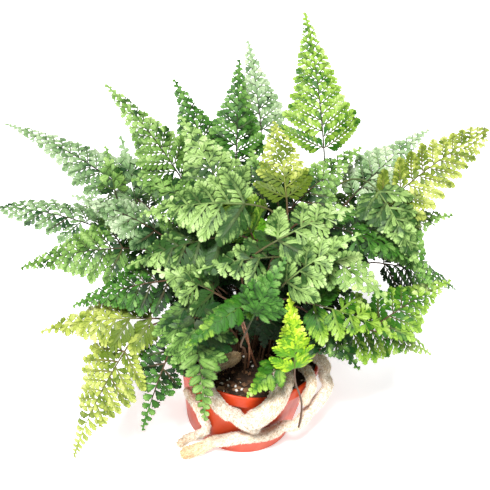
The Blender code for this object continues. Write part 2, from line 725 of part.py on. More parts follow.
def frond_solid(pattern, curve, extra=0.0):
    """Closed plate: both faces triangulated alike, joined along the outline."""
    flat, triangles, boundary = pattern
    count = len(flat)
    top = [curve.place(u, w, half + extra) for u, w, half in flat]
    bottom = [curve.place(u, w, -half - extra) for u, w, half in flat]
    faces = list(triangles)
    faces += [tuple(corner + count for corner in reversed(triangle)) for triangle in triangles]
    for start, end in zip(boundary, boundary[1:] + boundary[:1]):
        faces.append((start, start + count, end + count))
        faces.append((start, end + count, end))
    return top + bottom, faces


def clearing_steps():
    """All sets of clearing steps, the least moved first."""
    sets = [(depth, roll, bow) for depth in DEPTH_STEPS for roll in ROLL_STEPS for bow in BOW_STEPS]
    costs = (1.0, ROLL_COST, BOW_COST)
    return sorted(sets, key=lambda steps: sum(cost * abs(step) for cost, step in zip(costs, steps)))


def is_clear(points, faces, placed):
    if min(point.z for point in points) < FLOOR_CLEAR:
        return False
    tree = BVHTree.FromPolygons(points, faces)
    return not any(tree.overlap(other) for other in placed)


def build_fronds(materials, feet, placed):
    """Fronds in table order, each moved by the least steps that clear what is placed already."""
    for row, foot in zip(FRONDS, feet):
        name, tone, base, tip, width, pairs, roll, _ = row
        if len(foot) == 2:
            foot = Vector((foot.x, foot.y, soil_height(foot.x, foot.y) + STEM_HOLE_RISE))
        for steps in clearing_steps():
            curve = FrondCurve(base, tip, foot, roll, steps)
            pattern = frond_pattern(curve.length, curve.stipe_length, width, pairs)
            if is_clear(*frond_solid(pattern, curve, CLEAR_EXTRA), placed):
                break
        else:
            print("no clear place for", name)
        points, faces = frond_solid(pattern, curve)
        placed.append(BVHTree.FromPolygons(points, faces))
        add_object("frond_" + name, points, faces, materials["leaf_" + tone])


def mesh_tree(item):
    corners = [vertex.co / MM for vertex in item.data.vertices]
    return BVHTree.FromPolygons(corners, [tuple(face.vertices) for face in item.data.polygons])


def main():
    clear_scene()
    materials = {name: make_material(name) for name in MATERIALS}
    placed = []
    paths = {}
    for name, radius, stops in RHIZOMES:
        path = rhizome_path(radius, stops)
        points, faces = tube_mesh(path, radius)
        placed.append(BVHTree.FromPolygons(points, faces))
        paths[name] = (radius, path)
        add_object(name, points, faces, materials["rhizome_fur"])
    feet = foot_places(paths)
    pot = build_pot(materials["pot_plastic"])
    soil = build_soil(materials["soil"], [foot for foot in feet if len(foot) == 2])
    placed += [mesh_tree(pot), mesh_tree(soil)]
    build_fronds(materials, feet, placed)


main()
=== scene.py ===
"""Looks of the potted bear's foot fern: fine fronds, furry rhizomes, soil mix and pot.

Lengths are in millimetres here and are scaled to metres when a mesh is made. The viewer's side is -Y.
"""
import math

import bmesh
import bpy
import numpy as np
from mathutils import Matrix, Vector


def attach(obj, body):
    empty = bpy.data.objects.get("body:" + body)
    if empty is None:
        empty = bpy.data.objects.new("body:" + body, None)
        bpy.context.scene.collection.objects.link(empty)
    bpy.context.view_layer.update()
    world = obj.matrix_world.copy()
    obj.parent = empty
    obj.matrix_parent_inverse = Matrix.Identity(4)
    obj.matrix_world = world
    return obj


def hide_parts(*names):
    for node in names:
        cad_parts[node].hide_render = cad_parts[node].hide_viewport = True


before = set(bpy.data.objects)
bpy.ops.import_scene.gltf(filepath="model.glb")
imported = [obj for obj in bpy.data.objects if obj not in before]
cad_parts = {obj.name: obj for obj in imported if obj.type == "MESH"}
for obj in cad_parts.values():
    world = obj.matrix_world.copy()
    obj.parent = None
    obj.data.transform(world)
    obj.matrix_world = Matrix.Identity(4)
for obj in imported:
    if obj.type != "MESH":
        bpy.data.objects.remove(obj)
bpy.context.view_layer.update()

MM = 0.001
UP = np.array([0.0, 0.0, 1.0])
STEEP = 0.9
FULL_TURN = 2.0 * math.pi
SHARP_ANGLE = math.radians(50.0)

# Colour attribute with the four channels that a piece's material reads
CHANNELS = "channels"

# Waves of pseudo-noise: how many, stretch of their size, range of their pitch, and height
WAVE_COUNT = 7
WAVE_STRETCH = 2.2
WAVE_RANGE = (0.7, 1.4)
WAVE_HEIGHT = 0.7

# Camera: the rim's centre lies at RIM_PIXEL of a picture with this focal length in pixels
PICTURE_SIZE = 490.0
SENSOR_WIDTH = 36.0
FOCAL_PIXELS = 1000.0
RIM_PIXEL = (249.0, 344.5)
RIM_CENTRE = Vector((0.0, 0.0, 0.095))
RIM_DISTANCE = 0.955
CAMERA_DROP = math.radians(38.5)
CAMERA_ROLL = math.radians(7.6)

# Stage and light: each sun has a place, a spread in degrees and a strength
FLOOR_SIZE = 180.0
FLOOR_COLOUR = (0.95, 0.95, 0.95)
SKY_COLOUR = (1.0, 1.0, 1.0)
SKY_STRENGTH = 0.31
FLOOR_GLOW = 0.5
SUNS = (
    ("key", (-0.22, -0.72, 1.35), 12.0, 6.25),
    ("front", (-0.3, -1.2, 0.45), 40.0, 0.36),
    ("back", (0.3, 1.2, 1.0), 30.0, 0.75),
)
LIGHT_TARGET = Vector((0.0, 0.0, 0.0))

# Pot: radius, height and rounding of its corners, up to RIM_INSIDE outside and on the rim
POT_PROFILE = (
    (53.0, 0.0, 1.2), (64.5, 81.0, 0.8), (69.4, 82.0, 0.7), (70.0, 84.0, 0.6), (70.0, 93.5, 0.8),
    (69.2, 95.0, 0.7), (67.6, 95.0, 0.7), (66.8, 93.5, 0.5), (66.3, 83.0, 0.8), (62.4, 80.0, 0.8),
    (51.0, 3.0, 1.0),
)
POT_SEGMENTS = 144
ROUNDING_STEPS = 4
RIM_INSIDE = 7
DRAIN_RADIUS = 4.0
DRAIN_CIRCLE = 30.0
DRAIN_COUNT = 4
DRAIN_SIDES = 32
DRAIN_CUT = 20.0

# Soil: rings and spokes of points, size and height of its waves, and level, swing, size and seed of shade
SOIL_RADIUS = 65.75
SOIL_LEVEL = 85.0
SOIL_BUMP = 1.4
SOIL_RINGS = 60
SOIL_SPOKES = 176
SOIL_FLOOR = 60.0
SOIL_SKIRT = 0.9
SOIL_EDGE = 4.0
SOIL_WAVES = ((9.0, 0.9), (4.2, 0.7), (2.0, 0.45))
SOIL_SEED = 21
SOIL_MOTTLE = (0.3, 0.16, 6.0, 30)

# Level of the soil as in the solid: slow waves along X and Y as rate and phase, and a slanting ripple
SOIL_SWELL_X = (0.17, 1.3)
SOIL_SWELL_Y = (0.21, -0.4)
SOIL_RIPPLE = (0.33, -0.27)
SOIL_RIPPLE_SHARE = 0.5
SOIL_FADE_POWER = 4

# Grains on the soil: how many, roundness, sizes, flatness, shades, whiteness and how proud they stand
GRAINS = (
    (900, 1, (0.5, 1.3), (0.6, 0.9), (0.05, 0.55), 0.0, 0.3),
    (330, 1, (1.6, 4.2), (0.25, 0.45), (0.3, 0.95), 0.0, 0.6),
    (60, 2, (0.9, 1.9), (0.7, 0.95), (0.4, 0.9), 1.0, 0.6),
)
GRAIN_MARGIN = 2.5
GRAIN_WIDTHS = (0.45, 0.9)
GRAIN_DENTS = 0.22
GRAIN_TURNS = (0.0, 6.28)
GRAIN_TILT = 0.3

# Rhizomes: name, radius, path over the soil, the rim and the pot's outside
RHIZOME_STEP = 8.6
SEAT_GAP = 0.45
SOIL_GAP = 0.8
HUG_RANGE = 5.0
PATH_FINENESS = 12
REST_ROUNDS = 6
END_SIZE = 0.55
RHIZOMES = (
    ("rhizome_left_band", 6.8, (
        (-12, -19, 92), (-23, -26, 92), (-33, -38, 93), (-40, -50, 98), (-38, -59, 102),
        (-26, -71, 94), (-13, -75, 80), (0, -69, 66), (13, -66, 56))),
    ("rhizome_right_mass", 9.6, (
        (34, -25, 95), (35, -38, 97), (35, -55, 106), (30, -71, 101), (23, -78, 90), (14, -79, 79))),
    ("rhizome_outer", 6.0, (
        (44, 18, 91), (57, 0, 93), (66, -14, 102), (75, -22, 95), (78, -29, 84), (74, -35, 73),
        (66, -41, 62), (57, -48, 51), (45, -54, 43), (30, -59, 39), (14, -62, 38), (-1, -63, 34),
        (-17, -60, 21), (-32, -61, 10), (-45, -67, 7))),
    ("rhizome_left_short", 4.4, (
        (-50, -42, 66), (-41, -51, 57), (-34, -54, 44), (-29, -54, 33), (-32, -50, 20), (-38, -46, 9),
        (-46, -47, 5), (-52, -54, 5))),
    ("rhizome_right_inner", 5.0, (
        (45, -3, 92), (53, -18, 93), (58, -35, 101), (62, -47, 92), (60, -50, 80))),
    ("rhizome_soil_back", 5.0, ((-53, -2, 93), (-42, 0, 91), (-30, 6, 91))),
    ("rhizome_back_left", 5.5, (
        (-24, 40, 92), (-38, 45, 93), (-48, 50, 102), (-58, 56, 93), (-60, 52, 76), (-64, 40, 58),
        (-62, 26, 44))),
    ("rhizome_back_right", 5.5, (
        (18, 46, 92), (28, 54, 95), (34, 60, 102), (42, 66, 93), (45, 62, 76), (38, 60, 56), (24, 63, 42))),
)

# Body of a rhizome below its fur: rings, lumps as size and height, rounded ends, and shade as above
BODY_STEP = 1.2
BODY_SIDES = 28
BODY_SHARE = 0.86
BODY_LUMPS = ((11.0, 0.07), (4.5, 0.05), (2.2, 0.03))
CAP_STEPS = np.array([0.95, 0.8, 0.6, 0.35])
CAP_POINT = 0.5
BODY_MOTTLE = (0.35, 0.2, 3.0, 13)
BODY_SKIN = 0.7
FUR_SEED = 8

# Fur: scales with a foot of three points and one tip
SCALES_PER_MM2 = 1.25
SCALE_LENGTH = (1.8, 4.2)
SCALE_WIDTH = (0.35, 0.75)
SCALE_LIFT = (4.0, 24.0)
SCALE_TURN = 34.0
SCALE_DEPTH = 0.35
SCALE_FOOT = 0.4
SCALE_END_LENGTH = 0.55
SCALE_TONE = (0.6, 0.25)
SCALE_TAN_SPREAD = 0.08
SCALE_FACES = np.array([(0, 3, 1), (1, 3, 2), (2, 3, 0), (0, 1, 2)])
SCALE_ROW_MARGIN = 1.001
FLOOR_CLEARANCE = 0.1

# Growing ends that are golden: amount at the start and at the end, and reach as a share of the length
TAN_ENDS = {
    "rhizome_outer": (0.0, 1.0, 0.17),
    "rhizome_left_band": (1.0, 0.0, 0.2),
    "rhizome_left_short": (0.0, 0.35, 0.3),
    "rhizome_soil_back": (0.5, 0.5, 1.0),
    "rhizome_back_left": (0.0, 0.9, 0.18),
    "rhizome_back_right": (0.0, 0.9, 0.18),
    "rhizome_right_inner": (0.3, 0.3, 0.5),
}
TAN_FADE = 0.6

# Fronds: name, tone, blade base, blade tip, blade width, roll in degrees, cut and lift of the shade
FRONDS = (
    ("hero_top", "bright", (45, 95, 260), (10, 185, 355), 78, 0, "hero", 0),
    ("left_high", "mid", (-75, 48, 233), (-160, 90, 305), 66, 0, "lacy", 0.1),
    ("left_far", "grey", (-140, 58, 220), (-255, 95, 245), 56, -8, "hero", 0.14),
    ("right_far", "yellow", (100, 38, 248), (185, 90, 310), 66, 5, "comb", -0.18),
    ("droop_yellow", "yellow", (-105, -80, 150), (-145, -110, 30), 68, 0, "open", -0.12),
    ("left_yellow", "yellow", (-85, -55, 165), (-185, -60, 135), 60, 8, "dense", 0),
    ("droop_big", "mid", (-55, -65, 200), (-30, -115, 108), 76, -6, "broad", 0.16),
    ("left_comb", "grey", (-145, 20, 195), (-240, 20, 205), 50, -10, "comb", 0),
    ("back_narrow", "grey", (-15, 130, 250), (-40, 190, 315), 50, 10, "lacy", 0.21),
    ("back_dark", "dark", (-35, 92, 235), (-45, 160, 310), 58, -6, "lacy", 0),
    ("back_left_dark", "dark", (-60, 98, 230), (-105, 150, 285), 52, 0, "lacy", 0),
    ("right_high", "grey", (75, 65, 235), (140, 120, 285), 60, 0, "lacy", 0.2),
    ("back_right", "mid", (85, 72, 208), (100, 140, 245), 56, 12, "lacy", 0),
    ("right_bright", "bright", (110, -25, 165), (175, 20, 190), 60, 6, "lacy", 0),
    ("right_low", "bright", (82, -45, 175), (170, -20, 130), 60, -6, "lacy", 0.2),
    ("small_lime", "lime", (40, -80, 150), (25, -60, 220), 42, 0, "small", 0.27),
    ("small_bright", "bright", (27, -78, 150), (2, -96, 126), 34, 0, "entire", 0.28),
    ("front_bright", "bright", (-5, -74, 216), (-54, -112, 190), 42, 10, "lance", -0.25),
    ("front_dark", "dark", (-4, -90, 208), (18, -62, 258), 60, -5, "leafy", 0.1),
    ("front_light", "light", (20, -40, 240), (-54, -62, 230), 60, 0, "full", 0),
    ("centre_left", "light", (-18, -12, 268), (-110, -10, 240), 76, 5, "dense", 0),
    ("centre_low_left", "light", (-34, -15, 234), (-115, -40, 205), 70, 0, "dense", 0),
    ("centre_yellow", "yellow", (14, 10, 262), (-5, 60, 308), 52, 0, "feather", -0.1),
    ("right_grey", "light", (8, -42, 256), (72, -2, 272), 62, 0, "full", -0.03),
    ("right_light", "light", (20, -62, 230), (75, -45, 278), 56, 10, "full", 0.02),
    ("right_front", "mid", (40, -30, 243), (112, -58, 218), 62, 0, "full", 0.3),
    ("right_front_low", "bright", (45, -58, 208), (122, -66, 190), 58, -8, "full", 0),
    ("right_inner_dark", "dark", (48, 4, 246), (132, -14, 230), 68, 6, "dense", 0.15),
    ("right_droop_light", "light", (92, 42, 262), (135, -10, 218), 54, 8, "dense", -0.25),
    ("right_droop_dark", "dark", (105, 28, 238), (155, 0, 192), 50, -10, "lacy", 0.22),
    ("right_level", "mid", (92, 28, 220), (168, 46, 244), 58, 0, "lacy", 0.1),
    ("left_light", "light", (-38, 34, 234), (-92, 98, 278), 66, 8, "dense", 0),
    ("left_mid", "grey", (-95, 5, 212), (-172, 5, 240), 58, -10, "lacy", 0.2),
    ("left_low", "mid", (-120, -8, 200), (-212, -22, 172), 62, 6, "lacy", 0.02),
    ("left_cluster", "mid", (-74, -8, 206), (-150, -15, 188), 60, 0, "dense", 0),
    ("left_dark", "dark", (-75, -30, 190), (-158, -48, 160), 60, 0, "lacy", 0.15),
    ("left_inner", "mid", (-28, 18, 220), (-125, 38, 242), 74, 0, "dense", 0),
    ("centre_right_back", "mid", (12, 28, 226), (78, 88, 276), 72, 0, "lacy", 0),
    ("droop_dark", "dark", (-68, -75, 150), (-84, -112, 82), 46, 10, "open", 0.15),
    ("centre_bright", "bright", (-12, 16, 216), (-46, 32, 264), 58, 0, "dense", 0.35),
    ("left_low_pale", "light", (-36, -55, 203), (-90, -64, 226), 50, 0, "dense", 0.05),
    ("small_right", "mid", (55, -55, 185), (95, -76, 155), 44, 0, "dense", 0),
    ("back_low_left", "mid", (-110, 75, 180), (-200, 130, 125), 64, 0, "lacy", 0),
    ("back_low_mid_left", "dark", (-42, 68, 190), (-125, 178, 142), 74, 6, "lacy", 0),
    ("back_low_mid", "mid", (-8, 78, 205), (-25, 222, 152), 78, 0, "full", 0.3),
    ("back_low_mid_right", "grey", (30, 72, 200), (72, 208, 157), 74, -6, "full", 0),
    ("back_low_right", "mid", (65, 62, 184), (152, 160, 142), 70, 0, "lacy", 0),
    ("right_back_low", "dark", (112, 50, 175), (200, 85, 125), 62, 0, "lacy", 0),
    ("back_skirt_left", "mid", (-50, 78, 145), (-95, 150, 85), 56, 0, "lacy", 0),
    ("back_skirt_right", "bright", (40, 85, 145), (75, 155, 85), 56, 0, "lacy", 0),
)

# How a CAD frond lies: arch and cup of its blade, bend of its stalk, lowest pinnae and stalk stations
BLADE_ARCH = 0.085
BLADE_CUP = 0.16
STIPE_RISE = 0.42
STIPE_LEAD = 0.34
BOW_SHARE = 0.6
LEAST_HEADING = 0.2
BLADE_HALF_THICK = 0.4
STEM_FOOT_DEPTH = 10.0
STIPE_STATIONS = (0.35, 0.7)
STALK_CORNERS = 4
PINNA_FIRST = 0.05
PINNA_SPREAD = 0.92
PINNA_CROWDING = 0.92
PINNA_ANGLES = (58.0, 40.0)
FACING = np.array([0.0, -0.35, 1.0])
DEPTH_AXIS = np.array([0.0, 0.78, -0.62])
DEPTH_STEPS = (0, 5, -5, 10, -10, 15, -15, 21, -21, 28, -28)
ROLL_STEPS = (0, 10, -10, 20, -20)
BOW_STEPS = (0, 8, -8, 16, -16)

# Fine pinnae: how they crowd to the tip, how far they reach, and how they bend, droop and vary
LEAST_PAIRS = 6
TIP_CROWDING = 1.3
PINNA_LAST = 0.965
FLARE_POWER = 8.0
LEAST_REACH = 1.8
LEAST_SLOPE = 0.42
PINNA_STAGGER = 0.45
PINNA_LENGTHS = (0.93, 1.0)
ROOM_SHARE = 0.97
PINNA_BEND = 16.0
PINNA_DROOP = 0.1
PINNA_LEAN = 0.07
PINNA_ROLL = 0.11

# Leaflets: their places and angles on a pinna, their sizes, slopes and curl
LEAST_LEAFLETS = 2
LEAFLET_FIRST = 0.025
LEAFLET_RANGE = 0.795
LEAFLET_CROWDING = 0.95
LEAFLET_ANGLES = (44.0, 28.0)
LEAFLET_STAGGER = 0.3
LEAFLET_LENGTHS = (0.9, 1.0)
LEAFLET_WIDTHS = (0.94, 1.1)
LEAFLET_SLIMMEST = 0.2
LEAFLET_BROADEST = 0.52
LEAFLET_LIFT = 0.25
LEAFLET_PITCH = (-0.02, 0.08)
LEAFLET_ROLL = (-0.05, 0.1)
LEAFLET_CURL = 0.012
CURL_ACROSS = 2.5
LEAFLET_THICK = 0.16
ACROSCOPIC_GAIN = 1.2
ACROSCOPIC_FADE = 3
BASAL_GROWTH = (0.35, 0.18, 0.08)
BASAL_FADE = 1.5
SINGLE_WIDTHS = (0.9, 0.42)
PINNA_END = (0.24, 0.4)

# Rib of a pinna: half widths at start, least and end, wing near the tip, thickness, painted furrow shade
# and corners
RIB_HALVES = (0.36, 0.3, 0.15)
RIB_END = 0.97
TIP_WING = 0.4
RIB_THICK = 0.3
RIB_FURROW_SHADE = 0.06
STRIP_CORNERS = 4

# End of a frond: its last leaflet, and the wing of the rib there as places and half widths
FROND_END = 0.07
FROND_END_SIZES = (0.99, 0.2)
FROND_END_LIFT = 0.2
END_WING = (0.6, 0.72, 0.84, 0.93, 0.985)
END_WING_HALVES = (0.3, 0.8, 1.1, 0.9, 0.3)
END_WING_LIFT = 0.1
END_WING_THICK = 0.25

# Leaflet shapes: width left at a notch, its loss for each lobe, place of the widest part, slope below it
LEAFLET_SHAPES = {"blunt": (0.80, 0.03, 0.45, 0.5), "wedge": (0.74, 0.04, 0.58, 0.85),
                  "lace": (0.72, 0.04, 0.60, 0.95)}
LOBE_LENGTHS = (2.6, 4.4, 6.8, 10.5)
SIDE_FOOT = 0.08
SIDE_FIRST = 0.28
SIDE_END = 0.92
SIDE_LAST = 0.95
SIDE_LAST_SHARE = 0.6
PLAIN_PLACE = 0.6
TOOTH_PLACES = (0.2, 0.82, 0.9)
TOOTH_SWELL = 0.93
TOOTH_MIDDLE = 0.55
RIB_PLACES = (0.3, 0.7)
END_BLUNTNESS = 1.65
END_FALL = 0.97

# Shade of a frond, its gain towards the tips of leaflet, pinna and frond, and how much it varies
MIDDLE_SHADE = 0.5
TIP_GAIN = 0.3
PINNA_GAIN = 0.16
FROND_GAIN = 0.16
LEAFLET_VARIES = 0.10
PINNA_VARIES = 0.08
FROND_VARIES = 0.05

# Cuts of a blade: a pitch is in mm, and a fill is a width against the space for it
CUT_KEYS = ("pinna_pitch", "pinna_fill", "leaflet_pitch", "leaflet_fill", "rib_wing", "one_leaflet_below",
            "pinna_taper", "leaflet_shape", "rib_brown")
CUTS = {
    "full": (12.4, 1.42, 4.8, 1.7, 0.12, 8.0, 2.1, "wedge", 0.35),
    "dense": (10.6, 1.85, 4.9, 1.65, 0.12, 7.5, 2.2, "wedge", 0.3),
    "lacy": (8.4, 1.66, 4.5, 1.8, 0.08, 6.0, 3.0, "lace", 0.95),
    "hero": (8.4, 1.6, 4.6, 1.75, 0.08, 6.0, 3.0, "lace", 1.0),
    "feather": (7.0, 1.75, 4.2, 1.5, 0.1, 5.0, 2.3, "lace", 0.3),
    "broad": (9.2, 1.8, 4.8, 1.9, 0.45, 24.0, 2.2, "blunt", 0.2),
    "open": (8.8, 1.5, 5.0, 1.75, 0.12, 15.0, 2.6, "lace", 0.9),
    "comb": (10.4, 1.28, 4.2, 1.8, 0.08, 6.0, 3.0, "lace", 0.95),
    "leafy": (9.0, 1.9, 5.2, 1.9, 0.45, 13.0, 1.8, "blunt", 0.12),
    "entire": (5.6, 2.3, 5.0, 1.5, 0.2, 60.0, 1.8, "blunt", 0.12),
    "lance": (6.4, 2.1, 5.0, 1.5, 0.2, 60.0, 1.8, "blunt", 0.12),
    "small": (7.4, 1.7, 3.3, 1.7, 0.2, 5.0, 1.8, "blunt", 0.1),
}

# Outline of a blade, where it isn't the common one
COMMON_OUTLINE = {"blade_taper": 1.6, "base_flare": 0.0, "first_pinna": 0.03, "breadth": 1.0}
OWN_OUTLINES = {
    "hero": {"blade_taper": 1.05, "base_flare": 0.25},
    "feather": {"blade_taper": 0.85, "base_flare": 0.15},
    "comb": {"blade_taper": 0.65},
    "leafy": {"first_pinna": 0.16, "breadth": 0.8},
    "lance": {"blade_taper": 0.8, "breadth": 0.66},
}
STYLES = {name: {**COMMON_OUTLINE, **OWN_OUTLINES.get(name, {}), **dict(zip(CUT_KEYS, values))}
          for name, values in CUTS.items()}
FROND_SEED = 40

# Stalk: radius at its foot, at the blade's base and at the blade's tip, and its greening up the rib
STALK_RADII = (1.0, 0.8, 0.25)
STALK_SIDES = 7
STALK_ROWS = 18
STALK_END = 0.98
BURIED_SHARES = (1.0, 0.5)
RIB_DROP = 0.45
RIB_SHADE = 0.42
RIB_GREENING = 6

# Bare stalks: foot, bend and top, radii at shares of the length, and a shade for the channels that the bark
# material does not read
BARE_STALKS = (
    ((11.0, -16.0, 80.0), (-3.0, -38.0, 135.0), (-16.0, -50.0, 184.0)),
    ((1.0, -20.0, 80.0), (4.0, -40.0, 130.0), (-11.0, -50.0, 175.0)),
)
BARE_SHARES = (0.0, 0.94, 1.0)
BARE_RADII = (1.1, 0.75, 0.3)
BARE_SHADE = 0.5

# Inner fronds below the canopy: ranges from the lowest to the highest of them
INNER_COUNT = 30
INNER_SEED = 77
INNER_TONES = ("dark", "mid")
INNER_CENTRE = np.array([0.0, 20.0, 0.0])
INNER_RISE = (128.0, 205.0)
INNER_OUT = (44.0, 6.0)
INNER_LENGTH = (52.0, 72.0)
INNER_WIDTH = (48.0, 62.0)
INNER_DIP = (-6.0, 16.0)
INNER_ROLL = (-15.0, 15.0)
INNER_FOOT = 0.5
INNER_FRONT = -30.0
GOLDEN_ANGLE = math.radians(137.5)

# Small fronds that fill gaps: tone, base, tip and width, and where they stand against their base
GAP_FOOT_SHARE = 0.5
GAP_FOOT_BACK = 6.0
GAP_FRONDS = (
    ("dark", (4, 8, 152), (14, -24, 120), 46),
    ("dark", (22, -14, 152), (30, -36, 124), 42),
    ("dark", (-6, -8, 154), (-4, -36, 126), 42),
    ("dark", (8, -12, 160), (12, -38, 130), 40),
    ("dark", (24, 4, 146), (36, -26, 116), 44),
    ("mid", (10, 0, 176), (24, -26, 152), 46),
    ("grey", (-122, 50, 210), (-141, 70, 266), 36),
    ("mid", (-140, 42, 224), (-153, 62, 258), 26),
    ("mid", (-8, 60, 226), (-22, 96, 254), 44),
    ("dark", (-2, 40, 214), (-14, 78, 240), 48),
    ("lime", (-6, 18, 208), (-18, 40, 238), 26),
    ("lime", (2, 20, 206), (10, 42, 236), 22),
)

# Crown: the egg-shaped space of the leaves, its shell that is fully lit, and how much painted shade darkens
# its core
CROWN_CENTRE = np.array([0.0, 10.0, 120.0])
CROWN_RADII = np.array([150.0, 130.0, 145.0])
CROWN_SHELL = 1.12
PAINTED_DEPTH_SHADE = 1.36

# Leaf tones: shadow, middle and light colour of the upper side, and the colour of the stalk
LEAF_TONES = {
    "bright": ((0.022, 0.10, 0.004), (0.215, 0.36, 0.036), (0.54, 0.65, 0.27), (0.035, 0.045, 0.014)),
    "mid": ((0.005, 0.035, 0.003), (0.122, 0.240, 0.044), (0.43, 0.58, 0.21), (0.035, 0.04, 0.014)),
    "grey": ((0.012, 0.045, 0.012), (0.15, 0.26, 0.10), (0.50, 0.59, 0.39), (0.035, 0.035, 0.018)),
    "dark": ((0.003, 0.018, 0.002), (0.036, 0.130, 0.012), (0.23, 0.40, 0.10), (0.022, 0.024, 0.01)),
    "light": ((0.02, 0.062, 0.010), (0.245, 0.385, 0.105), (0.55, 0.67, 0.35), (0.09, 0.13, 0.04)),
    "yellow": ((0.08, 0.13, 0.009), (0.32, 0.375, 0.064), (0.65, 0.66, 0.33), (0.10, 0.10, 0.03)),
    "lime": ((0.07, 0.22, 0.005), (0.40, 0.59, 0.022), (0.88, 0.95, 0.24), (0.24, 0.34, 0.06)),
}
STALK_BARK = (0.085, 0.045, 0.024)

# Leaf surface: shares of colours, painted shade in the slits at the margins and along the ribs, and how
# noise moves the shade
SLIT_SHADE_SHARE = 0.35
PAINTED_SLIT_STOPS = ((0.66, 0.0), (1.0, 0.68))
PAINTED_RIB_STOPS = ((0.0, 0.6), (0.18, 0.0))
UNDERSIDE_SHARE = 0.55
UNDERSIDE_WHITE = 0.16
UNDERSIDE_AMOUNT = 0.6
YOUNG_DARK = 0.6
PATCH_SWING = 1.0
FINE_SWING = 0.25
EDGE_SWING = -0.1


def unit(vectors):
    """Directions of length one."""
    return vectors / np.linalg.norm(vectors, axis=-1, keepdims=True)


def between(limits, share):
    """Value at a share of the way from the first limit to the second."""
    return limits[0] + (limits[1] - limits[0]) * share


def even_angles(count):
    """Angles that divide a full turn evenly."""
    return np.arange(count) * FULL_TURN / count


# Meshes

def add_object(name, data):
    item = bpy.data.objects.new(name, data)
    bpy.context.collection.objects.link(item)
    return item


class Parts:
    """Collects points in millimetres, triangles and channel rows of one piece."""

    def __init__(self):
        self.points, self.faces, self.channels, self.count = [], [], [], 0

    def add(self, points, faces, channels):
        self.points.append(points)
        self.faces.append(np.asarray(faces) + self.count)
        self.channels.append(channels)
        self.count += len(points)

    def make(self, name, material):
        """Make the piece, which rides on the body."""
        mesh = bpy.data.meshes.new(name)
        points = np.concatenate(self.points) * MM
        mesh.from_pydata(points.tolist(), [], np.concatenate(self.faces).tolist())
        mesh.materials.append(material)
        attribute = mesh.color_attributes.new(CHANNELS, "FLOAT_COLOR", "POINT")
        attribute.data.foreach_set("color", np.concatenate(self.channels).astype(np.float32).ravel())
        mesh.shade_smooth()
        mesh.set_sharp_from_angle(angle=SHARP_ANGLE)
        item = add_object(name, mesh)
        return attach(item, "root")


def grid_faces(rows, columns):
    """Two triangles for each cell between closed rings of points."""
    faces = []
    for row in range(rows - 1):
        for column in range(columns):
            after = (column + 1) % columns
            a, b = row * columns + column, row * columns + after
            c, d = a + columns, b + columns
            faces += [(a, b, d), (a, d, c)]
    return np.array(faces)


def tube_faces(rows, columns):
    """Triangles of a tube whose rings are followed by its first and its last end point."""
    faces = grid_faces(rows, columns).tolist()
    count = rows * columns
    last = count - columns
    for index in range(columns):
        after = (index + 1) % columns
        faces.append((count, after, index))
        faces.append((count + 1, last + index, last + after))
    return faces


def path_frames(path):
    """Direction along the path, and two steady directions across it, for every point."""
    along = unit(np.gradient(path, axis=0))
    side = np.cross(along[0], UP if abs(along[0][2]) < STEEP else np.array([1.0, 0.0, 0.0]))
    sides = []
    for direction in along:
        side = unit(side - direction * side.dot(direction))
        sides.append(side)
    sides = np.array(sides)
    return along, sides, np.cross(along, sides)


def ring_spokes(side, other, columns):
    """Directions from each point of a path to the points of the ring round it."""
    turns = even_angles(columns)
    return side[:, None] * np.cos(turns)[None, :, None] + other[:, None] * np.sin(turns)[None, :, None]


def waves(points, size, seed):
    """Smooth pseudo-noise from about -1 to 1 with features of about the given size."""
    rng = np.random.default_rng(seed)
    directions = unit(rng.normal(size=(WAVE_COUNT, 3))) * (FULL_TURN / (WAVE_STRETCH * size))
    directions *= rng.uniform(*WAVE_RANGE, (WAVE_COUNT, 1))
    phases = rng.uniform(0.0, FULL_TURN, WAVE_COUNT)
    return np.sin(points @ directions.T + phases).sum(axis=1) / math.sqrt(WAVE_COUNT) * WAVE_HEIGHT


def mottle(points, level, swing, size, seed):
    return level + swing * waves(points, size, seed)


# Materials

